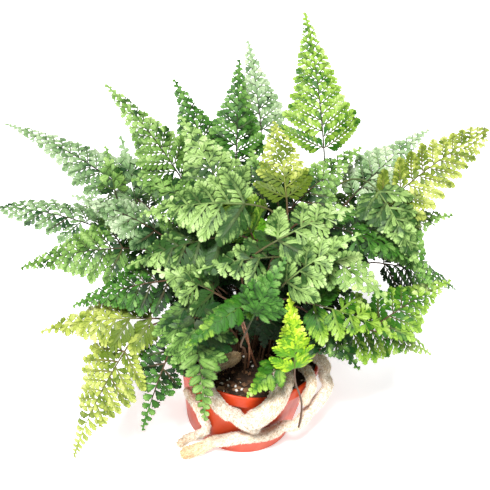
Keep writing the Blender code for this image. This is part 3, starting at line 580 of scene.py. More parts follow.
class Shader:
    """Short calls for building one node material."""

    def __init__(self, name, roughness, specular):
        self.material = bpy.data.materials.new(name)
        self.material.use_nodes = True
        self.tree = self.material.node_tree
        self.surface = self.tree.nodes["Principled BSDF"]
        self.surface.inputs["Roughness"].default_value = roughness
        self.surface.inputs["Specular IOR Level"].default_value = specular
        self.place = self.node("ShaderNodeTexCoord").outputs["Object"]

    def node(self, kind, **settings):
        made = self.tree.nodes.new(kind)
        for key, value in settings.items():
            setattr(made, key, value)
        return made

    def link(self, source, target):
        """Feed a socket from another socket or set it to a plain value."""
        if isinstance(source, bpy.types.NodeSocket):
            self.tree.links.new(source, target)
        elif isinstance(source, tuple):
            target.default_value = (*source, 1.0)
        else:
            target.default_value = source

    def channels(self):
        """The four channels of the piece's attribute."""
        read = self.node("ShaderNodeAttribute", attribute_name=CHANNELS)
        split = self.node("ShaderNodeSeparateColor")
        self.link(read.outputs["Color"], split.inputs["Color"])
        return (*(split.outputs[key] for key in ("Red", "Green", "Blue")), read.outputs["Alpha"])

    def noise(self, scale, detail=3.0, roughness=0.55, stretch=None):
        made = self.node("ShaderNodeTexNoise")
        place = self.place
        if stretch:
            mapping = self.node("ShaderNodeMapping")
            mapping.inputs["Scale"].default_value = stretch
            self.link(place, mapping.inputs["Vector"])
            place = mapping.outputs["Vector"]
        self.link(place, made.inputs["Vector"])
        made.inputs["Scale"].default_value = scale
        made.inputs["Detail"].default_value = detail
        made.inputs["Roughness"].default_value = roughness
        return made.outputs["Fac"]

    def math(self, operation, first, second, clamp=False):
        made = self.node("ShaderNodeMath", operation=operation, use_clamp=clamp)
        self.link(first, made.inputs[0])
        self.link(second, made.inputs[1])
        return made.outputs["Value"]

    def vary(self, level, noise, amount, clamp=False):
        """Move a level up and down by a noise times an amount."""
        swing = self.math("MULTIPLY", self.math("SUBTRACT", noise, 0.5), amount)
        return self.math("ADD", level, swing, clamp)

    def ramp(self, factor, *stops):
        """Colours at places from 0 to 1."""
        made = self.node("ShaderNodeValToRGB")
        elements = made.color_ramp.elements
        while len(elements) < len(stops):
            elements.new(0.5)
        for element, (place, colour) in zip(elements, stops):
            element.position = place
            element.color = (*colour, 1.0) if isinstance(colour, tuple) else (colour, colour, colour, 1.0)
        self.link(factor, made.inputs["Fac"])
        return made.outputs["Color"]

    def mix(self, factor, first, second):
        made = self.node("ShaderNodeMix", data_type="RGBA")
        self.link(factor, made.inputs["Factor"])
        self.link(first, made.inputs["A"])
        self.link(second, made.inputs["B"])
        return made.outputs["Result"]

    def bump(self, height, distance, strength):
        made = self.node("ShaderNodeBump")
        made.inputs["Strength"].default_value = strength
        made.inputs["Distance"].default_value = distance
        self.link(height, made.inputs["Height"])
        self.link(made.outputs["Normal"], self.surface.inputs["Normal"])

    def colour(self, source):
        self.link(source, self.surface.inputs["Base Color"])
        return self.material


def leaf_material(tone):
    """Leathery leaf: tone by leaflet and patch, painted shade along the ribs and in slits at the margins,
    paler underside.
    """
    shadow, middle, light, stalk = LEAF_TONES[tone]
    # gap is a painted shade colour, darker than the shadow colour, for slits and rib grooves
    gap = tuple(SLIT_SHADE_SHARE * value for value in shadow)
    pale = tuple(UNDERSIDE_SHARE * value + UNDERSIDE_WHITE for value in middle)
    brown = tuple(YOUNG_DARK * value for value in stalk)
    shader = Shader("leaf_" + tone, roughness=0.5, specular=0.17)
    shade, edge, stem, under = shader.channels()
    patch = shader.noise(90.0, detail=2.0)
    fine = shader.noise(900.0)
    level = shader.vary(shade, patch, PATCH_SWING)
    level = shader.vary(level, fine, FINE_SWING)
    level = shader.math("ADD", level, shader.math("MULTIPLY", edge, EDGE_SWING), clamp=True)
    blade = shader.ramp(level, (0.12, shadow), (0.43, middle), (1.0, light))
    # Painted shade: margins darken into the slits between overlapping leaflets, and the midrib into its
    # groove
    blade = shader.mix(shader.ramp(edge, *PAINTED_SLIT_STOPS), blade, gap)
    blade = shader.mix(shader.ramp(edge, *PAINTED_RIB_STOPS), blade, gap)
    blade = shader.mix(shader.math("MULTIPLY", under, UNDERSIDE_AMOUNT), blade, pale)
    young = shader.ramp(shader.noise(240.0), (0.3, brown), (0.7, stalk))
    bark = shader.mix(shader.ramp(shade, (0.1, 0.0), (0.4, 1.0)), STALK_BARK, young)
    blade = shader.mix(stem, blade, bark)
    shader.link(shader.ramp(patch, (0.3, 0.44), (0.75, 0.6)), shader.surface.inputs["Roughness"])
    shader.bump(shader.math("ADD", fine, shader.math("MULTIPLY", edge, 0.6)), distance=0.0003, strength=0.5)
    return shader.colour(blade)


def bark_material():
    """Smooth reddish-brown bark of an old stalk, paler where it is rubbed."""
    shader = Shader("old_stalk", roughness=0.4, specular=0.4)
    fleck = shader.noise(380.0, detail=4.0, roughness=0.6)
    shader.bump(fleck, distance=0.0003, strength=0.5)
    return shader.colour(shader.ramp(fleck, (0.3, (0.13, 0.045, 0.022)), (0.55, (0.30, 0.13, 0.07)),
                                     (0.8, (0.52, 0.30, 0.19))))


def fur_material():
    """Cream fur: random tone for each scale, golden growing ends, dark bark showing between."""
    shader = Shader("rhizome_fur", roughness=0.85, specular=0.25)
    shade, tan, tip, bark = shader.channels()
    fleck = shader.noise(260.0, detail=4.0, roughness=0.65)
    cream = shader.ramp(shade, (0.1, (0.40, 0.27, 0.15)), (0.35, (0.66, 0.57, 0.44)),
                        (0.6, (0.78, 0.72, 0.61)), (0.9, (0.90, 0.87, 0.80)))
    golden = shader.ramp(shade, (0.0, (0.36, 0.19, 0.06)), (0.4, (0.66, 0.43, 0.18)),
                         (0.9, (0.86, 0.68, 0.38)))
    fur = shader.mix(tan, cream, golden)
    worn = shader.ramp(shader.noise(75.0, detail=4.0, roughness=0.7), (0.5, 0.0), (0.72, 0.6))
    fur = shader.mix(worn, fur, (0.60, 0.46, 0.30))
    brown = shader.ramp(fleck, (0.60, 0.0), (0.68, 0.75))
    fur = shader.mix(brown, fur, (0.34, 0.21, 0.11))
    fur = shader.mix(shader.math("MULTIPLY", tip, 0.25), fur, (0.90, 0.87, 0.80))
    skin = shader.ramp(fleck, (0.3, (0.24, 0.13, 0.07)), (0.65, (0.66, 0.50, 0.32)))
    fur = shader.mix(bark, fur, skin)
    shader.bump(shader.noise(1500.0), distance=0.0004, strength=0.5)
    return shader.colour(fur)


def soil_material():
    """Dark damp mix, with chips and crumbs of other browns and white grains of perlite."""
    shader = Shader("soil", roughness=0.9, specular=0.3)
    shade, white, _, _ = shader.channels()
    fleck = shader.noise(420.0, detail=4.0, roughness=0.7)
    level = shader.vary(shade, fleck, 0.5, clamp=True)
    earth = shader.ramp(level, (0.1, (0.012, 0.007, 0.004)), (0.45, (0.05, 0.026, 0.014)),
                        (0.7, (0.13, 0.062, 0.03)), (0.95, (0.30, 0.17, 0.09)))
    perlite = shader.ramp(fleck, (0.35, (0.66, 0.62, 0.55)), (0.6, (0.92, 0.90, 0.86)))
    shader.bump(fleck, distance=0.0006, strength=0.8)
    return shader.colour(shader.mix(white, earth, perlite))


def pot_material():
    """Satin moulded plastic, with slight mottling, a little dust low down and faint scuffs."""
    shader = Shader("pot_plastic", roughness=0.34, specular=0.22)
    broad = shader.noise(28.0)
    fine = shader.noise(700.0, detail=4.0, roughness=0.7)
    scuff = shader.noise(130.0, detail=5.0, roughness=0.7, stretch=(1.0, 1.0, 0.25))
    base = shader.ramp(broad, (0.3, (0.44, 0.038, 0.007)), (0.7, (0.55, 0.056, 0.011)))
    height = shader.node("ShaderNodeSeparateXYZ")
    shader.link(shader.place, height.inputs["Vector"])
    low = shader.ramp(shader.math("MULTIPLY", height.outputs["Z"], 10.0), (0.0, 0.2), (0.35, 0.02))
    dust = shader.math("MULTIPLY", low, shader.ramp(scuff, (0.5, 0.0), (0.7, 1.0)))
    base = shader.mix(dust, base, (0.62, 0.32, 0.20))
    shader.link(shader.ramp(scuff, (0.4, 0.30), (0.75, 0.48)), shader.surface.inputs["Roughness"])
    shader.bump(fine, distance=0.00015, strength=0.35)
    return shader.colour(base)


# Pot

def rounded_profile(corners):
    """Closed outline with every corner replaced by a short arc-like curve."""
    outline = []
    for index, (radius, height, rounding) in enumerate(corners):
        here = np.array([radius, height])
        axis = (0.0, height)
        before = np.array(corners[index - 1][:2] if index > 0 else axis)
        after = np.array(corners[index + 1][:2] if index < len(corners) - 1 else axis)
        start = here + unit(before - here) * rounding
        end = here + unit(after - here) * rounding
        for step in range(ROUNDING_STEPS + 1):
            t = step / ROUNDING_STEPS
            outline.append((1 - t) ** 2 * start + 2 * t * (1 - t) * here + t ** 2 * end)
    return outline


def make_pot(material):
    """Moulded pot turned from its outline, with drain holes cut through its base."""
    outline = rounded_profile(POT_PROFILE)
    angles = even_angles(POT_SEGMENTS)
    points = [(r * c, r * s, z) for r, z in outline for c, s in zip(np.cos(angles), np.sin(angles))]
    faces = grid_faces(len(outline), POT_SEGMENTS).tolist()
    first = list(range(POT_SEGMENTS))
    last = [index + (len(outline) - 1) * POT_SEGMENTS for index in first]
    faces += [first[::-1], last]
    mesh = bpy.data.meshes.new("fine_pot")
    mesh.from_pydata((np.array(points) * MM).tolist(), [], faces)
    pot = add_object("fine_pot", mesh)
    for index in range(DRAIN_COUNT):
        angle = FULL_TURN * (index + 0.5) / DRAIN_COUNT
        spot = (DRAIN_CIRCLE * MM * math.cos(angle), DRAIN_CIRCLE * MM * math.sin(angle), 0.0)
        bpy.ops.mesh.primitive_cylinder_add(vertices=DRAIN_SIDES, radius=DRAIN_RADIUS * MM,
                                            depth=DRAIN_CUT * MM, location=spot)
        cutter = bpy.context.object
        cut = pot.modifiers.new("drain", "BOOLEAN")
        cut.operation = "DIFFERENCE"
        cut.object = cutter
        bpy.context.view_layer.update()
        drilled = pot.evaluated_get(bpy.context.evaluated_depsgraph_get())
        drilled = bpy.data.meshes.new_from_object(drilled)
        pot.modifiers.clear()
        pot.data = drilled
        bpy.data.objects.remove(cutter, do_unlink=True)
    pot.data.materials.clear()
    pot.data.materials.append(material)
    pot.data.shade_smooth()
    pot.data.set_sharp_from_angle(angle=SHARP_ANGLE)
    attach(pot, "root")
    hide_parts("pot")


# Soil

def soil_height(x, y):
    """Level of the soil at a place, as in the solid: slow waves that fade towards the pot."""
    fade = np.maximum(0.0, 1.0 - (np.hypot(x, y) / SOIL_RADIUS) ** SOIL_FADE_POWER)
    swell = np.sin(SOIL_SWELL_X[0] * x + SOIL_SWELL_X[1]) * np.cos(SOIL_SWELL_Y[0] * y + SOIL_SWELL_Y[1])
    ripple = SOIL_RIPPLE_SHARE * np.sin(SOIL_RIPPLE[0] * x + SOIL_RIPPLE[1] * y)
    return SOIL_LEVEL + SOIL_BUMP * fade * (swell + ripple)


def ball(subdivisions):
    """Points and triangles of a unit icosphere."""
    made = bmesh.new()
    bmesh.ops.create_icosphere(made, subdivisions=subdivisions, radius=1.0)
    points = np.array([vertex.co[:] for vertex in made.verts])
    faces = np.array([[vertex.index for vertex in face.verts] for face in made.faces])
    made.free()
    return points, faces


def scatter_grains(parts, rng, count, roundness, sizes, flatness, shades, white, proud):
    """Lumps on the soil: each a ball, stretched, dented, turned and set into the surface."""
    ball_points, ball_faces = ball(roundness)
    for _ in range(count):
        radius = (SOIL_RADIUS - GRAIN_MARGIN) * math.sqrt(rng.random())
        angle = rng.uniform(0.0, FULL_TURN)
        size = rng.uniform(*sizes)
        stretch = np.array([1.0, rng.uniform(*GRAIN_WIDTHS), rng.uniform(*flatness)]) * size
        lump = ball_points * stretch * (1.0 + GRAIN_DENTS * rng.normal(size=(len(ball_points), 1)))
        turn = Matrix.Rotation(rng.uniform(*GRAIN_TURNS), 3, "Z")
        turn = turn @ Matrix.Rotation(rng.normal() * GRAIN_TILT, 3, "X")
        lump = lump @ np.array(turn).T
        x, y = radius * math.cos(angle), radius * math.sin(angle)
        centre = np.array([x, y, soil_height(x, y) + size * flatness[0] * proud])
        tone = rng.uniform(*shades)
        parts.add(lump + centre, ball_faces, np.tile((tone, white, 0.0, 1.0), (len(lump), 1)))


def make_soil(material):
    """Uneven top of the soil down to its hidden floor, with crumbs, chips of bark and perlite."""
    parts = Parts()
    radii = SOIL_RADIUS * (np.arange(1, SOIL_RINGS + 1) / SOIL_RINGS)
    angles = even_angles(SOIL_SPOKES)
    rings = [np.column_stack([r * np.cos(angles), r * np.sin(angles)]) for r in radii]
    flat = np.concatenate([[[0.0, 0.0]]] + rings)
    heights = soil_height(flat[:, 0], flat[:, 1])
    base = np.column_stack([flat, heights])
    edge = np.clip((SOIL_RADIUS - np.hypot(flat[:, 0], flat[:, 1])) / SOIL_EDGE, 0.0, 1.0)
    for number, (size, amount) in enumerate(SOIL_WAVES):
        heights = heights + amount * edge * waves(base, size, SOIL_SEED + number)
    top = np.column_stack([flat, heights])
    skirt = top[-SOIL_SPOKES:] * [SOIL_SKIRT, SOIL_SKIRT, 0.0] + [0.0, 0.0, SOIL_FLOOR]
    points = np.concatenate([top, skirt, [[0.0, 0.0, SOIL_FLOOR]]])
    faces = []
    for spoke in range(SOIL_SPOKES):
        after = (spoke + 1) % SOIL_SPOKES
        faces.append((0, 1 + spoke, 1 + after))
        faces.append((len(points) - 1, len(top) + after, len(top) + spoke))
    rows = grid_faces(SOIL_RINGS + 1, SOIL_SPOKES) + 1
    faces = np.concatenate([np.array(faces), rows])
    none = np.zeros(len(points))
    parts.add(points, faces, np.column_stack([mottle(points, *SOIL_MOTTLE), none, none, none + 1.0]))
    rng = np.random.default_rng(SOIL_SEED)
    for kind in GRAINS:
        scatter_grains(parts, rng, *kind)
    soil = parts.make("fine_soil", material)
    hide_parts("soil")


# Rhizomes

def support_outline(x, y):
    """Radius and height pairs of the outside of soil and pot, from the axis to the floor."""
    level = float(soil_height(x, y)) + SOIL_GAP
    inner_edge = POT_PROFILE[RIM_INSIDE + 1][0]
    return [(0.0, level), (inner_edge, level)] + [corner[:2] for corner in POT_PROFILE[RIM_INSIDE::-1]]


def nearest_on_outline(radius, height, outline):
    """Distance to the outline, and the place on it that is nearest."""
    best = None
    for (r0, z0), (r1, z1) in zip(outline, outline[1:]):
        length = (r1 - r0) ** 2 + (z1 - z0) ** 2
        share = ((radius - r0) * (r1 - r0) + (height - z0) * (z1 - z0)) / length
        share = min(1.0, max(0.0, share))
        near = (r0 + share * (r1 - r0), z0 + share * (z1 - z0))
        gap = math.dist(near, (radius, height))
        if best is None or gap < best[0]:
            best = (gap, near)
    return best


def rest_on_supports(point, radius, reach=HUG_RANGE):
    """Move a tube's centre so that it lies just off the pot, the soil and the floor."""
    place = point.copy()
    for _ in range(REST_ROUNDS):
        across = math.hypot(place.x, place.y)
        outline = support_outline(place.x, place.y)
        gap, near = nearest_on_outline(across, place.z, outline)
        wanted = radius + SEAT_GAP
        inside = place.z < outline[0][1] and across < near[0]
        if inside or gap > wanted + reach:
            break
        scale = wanted / max(gap, 1e-6)
        new_across = near[0] + (across - near[0]) * scale
        place.z = near[1] + (place.z - near[1]) * scale
        place.x *= new_across / across
        place.y *= new_across / across
    place.z = max(place.z, radius + SEAT_GAP)
    return place


def smooth_path(stops, step):
    """Evenly spaced points on a Catmull-Rom path through the stops."""
    stops = [Vector(stop) for stop in stops]
    ends = [2 * stops[0] - stops[1]] + stops + [2 * stops[-1] - stops[-2]]
    fine = []
    for p0, p1, p2, p3 in zip(ends, ends[1:], ends[2:], ends[3:]):
        for index in range(PATH_FINENESS):
            t = index / PATH_FINENESS
            fine.append(0.5 * (2 * p1 + (p2 - p0) * t + (2 * p0 - 5 * p1 + 4 * p2 - p3) * t ** 2
                               + (3 * p1 - p0 - 3 * p2 + p3) * t ** 3))
    fine.append(stops[-1])
    travel = [0.0]
    for first, second in zip(fine, fine[1:]):
        travel.append(travel[-1] + (second - first).length)
    count = max(3, round(travel[-1] / step))
    path, cursor = [], 0
    for index in range(count + 1):
        target = travel[-1] * index / count
        while cursor < len(travel) - 2 and travel[cursor + 1] < target:
            cursor += 1
        share = (target - travel[cursor]) / max(travel[cursor + 1] - travel[cursor], 1e-9)
        path.append(fine[cursor].lerp(fine[cursor + 1], share))
    return path


def rhizome_path(radius, stops):
    """Path of a rhizome that clears the supports at its stations, between them and at its ends."""
    path = [rest_on_supports(point, radius) for point in smooth_path(stops, RHIZOME_STEP)]
    for _ in range(REST_ROUNDS):
        for index in range(len(path) - 1):
            middle = path[index].lerp(path[index + 1], 0.5)
            lift = rest_on_supports(middle, radius, 0.0) - middle
            path[index] = path[index] + lift
            path[index + 1] = path[index + 1] + lift
        for end, inner in ((0, 1), (-1, -2)):
            cap = path[end] + (path[end] - path[inner]).normalized() * radius
            path[end] = path[end] + rest_on_supports(cap, END_SIZE * radius, 0.0) - cap
    return path


def tan_share(name, shares):
    """How golden a rhizome is at shares of its length."""
    start, end, reach = TAN_ENDS.get(name, (0.0, 0.0, 1.0))
    near_start = np.clip(1.0 - shares / reach, 0.0, 1.0) ** TAN_FADE * start
    near_end = np.clip(1.0 - (1.0 - shares) / reach, 0.0, 1.0) ** TAN_FADE * end
    return np.maximum(near_start, near_end)


class RhizomeBody:
    """Lumpy tube with rounded ends that the fur stands on."""

    def __init__(self, name, radius, stops):
        fine = np.array([point[:] for point in smooth_path(rhizome_path(radius, stops), BODY_STEP)])
        lead, tail = unit(fine[0] - fine[1]), unit(fine[-1] - fine[-2])
        start_cap = fine[0] + lead * radius * CAP_STEPS[:, None]
        end_cap = fine[-1] + tail * radius * CAP_STEPS[::-1, None]
        cap_sizes = np.sqrt(1.0 - CAP_STEPS ** 2)
        self.name = name
        self.radius = radius
        self.length = np.linalg.norm(np.diff(fine, axis=0), axis=1).sum()
        self.path = np.concatenate([start_cap, fine, end_cap])
        self.sizes = np.concatenate([cap_sizes, np.ones(len(fine)), cap_sizes[::-1]])
        self.ends = [self.path[0] + lead * CAP_POINT, self.path[-1] + tail * CAP_POINT]
        self.along, self.side, self.other = path_frames(self.path)
        spokes = ring_spokes(self.side, self.other, BODY_SIDES) * (radius * self.sizes)[:, None, None]
        plain = (self.path[:, None] + spokes).reshape(-1, 3)
        swell = np.full(len(plain), BODY_SHARE)
        for number, (size, amount) in enumerate(BODY_LUMPS):
            swell += amount * waves(plain, size, FUR_SEED + number)
        self.swell = swell.reshape(len(self.path), BODY_SIDES)
        self.rings = self.path[:, None] + spokes * self.swell[..., None]

    def add_skin(self, parts):
        """The body's own surface."""
        points = np.concatenate([self.rings.reshape(-1, 3), self.ends])
        points[:, 2] = np.maximum(points[:, 2], FLOOR_CLEARANCE)
        rows = tan_share(self.name, np.linspace(0.0, 1.0, len(self.path)))
        tan = np.append(np.repeat(rows, BODY_SIDES), rows[[0, -1]])
        none = 0.0 * tan
        channels = np.column_stack([mottle(points, *BODY_MOTTLE), tan, none, none + BODY_SKIN])
        parts.add(points, tube_faces(len(self.path), BODY_SIDES), channels)

    def add_fur(self, parts, rng):
        """Thin pointed scales that lie along the body."""
        count = int(FULL_TURN * self.radius * (self.length + self.radius) * SCALES_PER_MM2)
        row_at = rng.uniform(0, len(self.path) - SCALE_ROW_MARGIN, count)
        rows = row_at.astype(int)
        blend = (row_at - rows)[:, None]
        turn = rng.uniform(0.0, FULL_TURN, count)
        columns = (turn / FULL_TURN * BODY_SIDES).astype(int) % BODY_SIDES
        centre = self.path[rows] * (1 - blend) + self.path[rows + 1] * blend
        out = self.side[rows] * np.cos(turn)[:, None] + self.other[rows] * np.sin(turn)[:, None]
        size = self.sizes[rows] * (1 - blend[:, 0]) + self.sizes[rows + 1] * blend[:, 0]
        root = centre + out * (self.radius * size * self.swell[rows, columns])[:, None]
        around = np.cross(out, self.along[rows])
        angle = np.radians(rng.normal(0.0, SCALE_TURN, count))[:, None]
        lift = np.radians(rng.uniform(*SCALE_LIFT, count))[:, None]
        heading = self.along[rows] * np.cos(angle) + around * np.sin(angle)
        across = np.cross(out, heading)
        end_length = SCALE_END_LENGTH + (1.0 - SCALE_END_LENGTH) * size[:, None]
        long = rng.uniform(*SCALE_LENGTH, count)[:, None] * end_length
        wide = rng.uniform(*SCALE_WIDTH, count)[:, None]
        point = root + (heading * np.cos(lift) + out * np.sin(lift)) * long
        foot = root - out * SCALE_DEPTH + heading * SCALE_FOOT
        corners = np.stack([root + across * wide / 2, root - across * wide / 2, foot, point], axis=1)
        corners[..., 2] = np.maximum(corners[..., 2], FLOOR_CLEARANCE)
        faces = (np.arange(count)[:, None, None] * 4 + SCALE_FACES[None]).reshape(-1, 3)
        tone = np.clip(rng.normal(*SCALE_TONE, count), 0.0, 1.0)
        tan = tan_share(self.name, row_at / (len(self.path) - 1))
        tan = np.clip(tan + rng.normal(0.0, SCALE_TAN_SPREAD, count), 0.0, 1.0)
        channels = np.zeros((count, 4, 4))
        channels[..., 0] = tone[:, None]
        channels[..., 1] = tan[:, None]
        channels[:, 3, 2] = 1.0
        parts.add(corners.reshape(-1, 3), faces, channels.reshape(-1, 4))


def make_rhizome(name, radius, stops, material, rng):
    """A rhizome's body under a coat of scales."""
    parts = Parts()
    body = RhizomeBody(name, radius, stops)
    body.add_skin(parts)
    body.add_fur(parts, rng)
    piece = parts.make("furry_" + name, material)
    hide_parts(name)


# Fronds

def bezier(controls, t):
    """Points on a curve of any degree, for an array of places."""
    rows = list(controls)
    t = np.asarray(t, float)[:, None]
    while len(rows) > 1:
        rows = [first + (second - first) * t for first, second in zip(rows, rows[1:])]
    return rows[0]


class FrondCurve:
    """Midline and side direction of a frond, for one set of clearing steps."""

    def __init__(self, base, tip, foot, roll, steps=(0, 0, 0)):
        depth, extra_roll, bow = steps
        base = np.array(base, float) + DEPTH_AXIS * depth
        tip = np.array(tip, float) + DEPTH_AXIS * depth
        chord = tip - base
        self.length = np.linalg.norm(chord)
        along = chord / self.length
        normal = unit(FACING - along * FACING.dot(along))
        side = np.cross(along, normal)
        turn = math.radians(roll + extra_roll)
        middle = (base + tip) / 2.0 + normal * 2.0 * BLADE_ARCH * self.length
        self.side = side * math.cos(turn) + normal * math.sin(turn)
        self.blade = np.array([base, middle, tip])
        heading = unit(middle - base)
        stipe_length = np.linalg.norm(base - foot)
        flat = max(math.hypot(heading[0], heading[1]), LEAST_HEADING)
        sideways = np.array([-heading[1], heading[0], 0.0]) * bow / flat
        rise = foot + UP * stipe_length * STIPE_RISE + sideways
        lead = base - heading * stipe_length * STIPE_LEAD + sideways * BOW_SHARE
        self.stipe = np.array([foot, rise, lead, base])

    def place(self, flat):
        """Points for rows of distance along the blade, distance to the side and lift."""
        u, w, lift = flat[:, 0], flat[:, 1], flat[:, 2]
        t = u / self.length
        along = unit(bezier(np.diff(self.blade, axis=0), t))
        normal = unit(np.cross(self.side, along))
        across = np.cross(normal, along)
        cup = BLADE_CUP * w * w / (0.5 * self.length)
        return bezier(self.blade, t) + across * w[:, None] + normal * (lift - cup)[:, None]

    def blade_probes(self, width):
        """Both faces of the CAD blade's tip and of its lowest pinnae's tips."""
        out = PINNA_FIRST * self.length + 0.5 * width / math.tan(math.radians(PINNA_ANGLES[0]))
        ends = ((self.length, 0.0), (out, 0.5 * width), (out, -0.5 * width))
        lifts = (BLADE_HALF_THICK, -BLADE_HALF_THICK)
        return self.place(np.array([(*end, lift) for end in ends for lift in lifts]))


def fitted_curve(node, base, tip, width, roll):
    """The curve of the CAD frond: its clearing steps are found from the node's own corners."""
    corners = np.array([vertex.co[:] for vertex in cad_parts[node].data.vertices]) / MM
    rank = corners[:, 2] + np.hypot(corners[:, 0], corners[:, 1])
    foot = corners[np.argsort(rank)[:STALK_CORNERS]].mean(axis=0) + UP * STEM_FOOT_DEPTH

    def blade_error(steps):
        probes = FrondCurve(base, tip, foot, roll, (*steps, 0)).blade_probes(width)
        return np.linalg.norm(probes[:, None] - corners[None], axis=2).min(axis=1).sum()

    def stalk_error(curve):
        error = 0.0
        for centre in bezier(curve.stipe, STIPE_STATIONS):
            nearest = np.argsort(np.linalg.norm(corners - centre, axis=1))[:STALK_CORNERS]
            error += np.linalg.norm(corners[nearest].mean(axis=0) - centre)
        return error

    blade_steps = min(((depth, turn) for depth in DEPTH_STEPS for turn in ROLL_STEPS), key=blade_error)
    curves = [FrondCurve(base, tip, foot, roll, (*blade_steps, bow)) for bow in BOW_STEPS]
    return min(curves, key=stalk_error)


def envelope(t, widest, rise):
    """Relative half width of a leaflet at a share of its length, with a blunt point."""
    if t < widest:
        return (t / widest) ** rise
    return 1.0 - END_FALL * ((t - widest) / (1.0 - widest)) ** END_BLUNTNESS


def zip_chains(places, left, right):
    """Triangles of the strip between two chains that share their ends and run the same way."""
    triangles = []
    i, j = 0, 0
    while i < len(left) - 1 or j < len(right) - 1:
        left_next = places[left[i + 1]] if i < len(left) - 1 else math.inf
        right_next = places[right[j + 1]] if j < len(right) - 1 else math.inf
        if left_next <= right_next:
            triangle = (left[i], right[j], left[i + 1])
            i += 1
        else:
            triangle = (left[i], right[j], right[j + 1])
            j += 1
        if len(set(triangle)) == 3:
            triangles.append(triangle)
    return triangles


def leaflet_side(lobes, cut, widest, rise):
    """One margin of a unit leaflet from its foot to its end, with teeth that point forward."""
    side = [(SIDE_FOOT, envelope(SIDE_FOOT, widest, rise))]
    pitch = (SIDE_END - SIDE_FIRST) / max(lobes, 1)
    for index in range(lobes):
        start = SIDE_FIRST + index * pitch
        swell, crest, notch = (start + share * pitch for share in TOOTH_PLACES)
        side.append((swell, TOOTH_SWELL * envelope(swell, widest, rise)))
        side.append((crest, envelope(start + TOOTH_MIDDLE * pitch, widest, rise)))
        side.append((notch, cut * envelope(notch, widest, rise)))
    if lobes == 0:
        plain = (widest * PLAIN_PLACE, widest, 0.5 + 0.5 * widest)
        side += [(place, envelope(place, widest, rise)) for place in plain]
    side.append((SIDE_LAST, SIDE_LAST_SHARE * envelope(SIDE_LAST, widest, rise)))
    return side


def leaflet_template(lobes, cut, widest, rise):
    """Unit leaflet with blunt teeth and a blunt end, as a thin closed lens.

    Rows are place along, place across, which face a rib point lifts, and closeness to the margin.
    """
    side = leaflet_side(lobes, cut, widest, rise)
    rows = [(0.0, 0.0, 0.0, 0.0), (1.0, 0.0, 0.0, 1.0)]
    chains = []
    for chain in ([(t, s, 0.0, 1.0) for t, s in side], [(t, -s, 0.0, 1.0) for t, s in side],
                  [(t, 0.0, 1.0, 0.0) for t in RIB_PLACES], [(t, 0.0, -1.0, 0.0) for t in RIB_PLACES]):
        chains.append([0, *range(len(rows), len(rows) + len(chain)), 1])
        rows += chain
    left, right, upper, lower = chains
    rows = np.array(rows)
    faces = []
    for rib, up in ((upper, True), (lower, False)):
        for edge in (left, right):
            for triangle in zip_chains(rows[:, 0], edge, rib):
                (x0, y0), (x1, y1), (x2, y2) = rows[list(triangle), :2]
                counterclockwise = (x1 - x0) * (y2 - y0) - (x2 - x0) * (y1 - y0) > 0.0
                faces.append(triangle if counterclockwise == up else triangle[::-1])
    return rows, np.array(faces)


TEMPLATES = {}
for lobes in range(len(LOBE_LENGTHS) + 1):
    for shape, (first_cut, cut_step, widest, rise) in LEAFLET_SHAPES.items():
        TEMPLATES[shape, lobes] = leaflet_template(lobes, first_cut - cut_step * lobes, widest, rise)


class Leaflets:
    """Rows of leaflets in a flat frond, turned into points template by template."""

    def __init__(self, shape):
        self.shape = shape
        self.rows = {}

    def add(self, root, angle, length, half_width, pitch, roll, shade):
        """Root is (u, w, lift); pitch and roll are slopes along and across the leaflet."""
        row = (*root, math.cos(angle), math.sin(angle), length, half_width, pitch, roll, shade)
        lobes = sum(length > least for least in LOBE_LENGTHS)
        self.rows.setdefault((self.shape, lobes), []).append(row)

    def build(self, curve, parts):
        for key, rows in sorted(self.rows.items()):
            shape, triangles = TEMPLATES[key]
            data = np.array(rows)[:, :, None]
            u0, w0, lift0, cosine, sine, length, half, pitch, roll, shade = np.moveaxis(data, 1, 0)
            t, s, face, edge = shape.T[:, None, :]
            x, y = t * length, s * half
            u = u0 + cosine * x - sine * y
            w = w0 + sine * x + cosine * y
            curl = LEAFLET_CURL * (x * x + CURL_ACROSS * y * y)
            lift = lift0 + pitch * x + roll * y - curl + face * LEAFLET_THICK
            flat = np.stack([u, w, lift], axis=-1).reshape(-1, 3)
            count, size = u.shape
            faces = (np.arange(count)[:, None, None] * size + triangles[None]).reshape(-1, 3)
            ones = np.ones((count, size))
            tones = shade + TIP_GAIN * (t - 0.5) * ones
            channels = np.stack([tones, edge * ones, 0.0 * ones, np.clip(-face, 0, 1) * ones], axis=-1)
            parts.add(curve.place(flat), faces, channels.reshape(-1, 4))


def add_strip(parts, curve, places, angles, halves, thick, stem, shade):
    """Thin closed strip along flat places, such as a winged rib."""
    flat = []
    for (u, w, lift), angle, half in zip(places, angles, halves):
        across = (-math.sin(angle) * half, math.cos(angle) * half)
        flat += [(u + across[0], w + across[1], lift), (u, w, lift + thick),
                 (u - across[0], w - across[1], lift), (u, w, lift - thick)]
    faces = grid_faces(len(places), STRIP_CORNERS).tolist()
    last = STRIP_CORNERS * (len(places) - 1)
    faces += [(0, 3, 2), (0, 2, 1), (last, last + 1, last + 2), (last, last + 2, last + 3)]
    faces = [face[::-1] for face in faces]
    channels = np.array([(shade, margin, here, under) for here in np.broadcast_to(stem, len(places))
                         for margin, under in ((1.0, 0.0), (0.0, 0.0), (1.0, 0.0), (0.0, 1.0))])
    parts.add(curve.place(np.array(flat)), faces, channels)


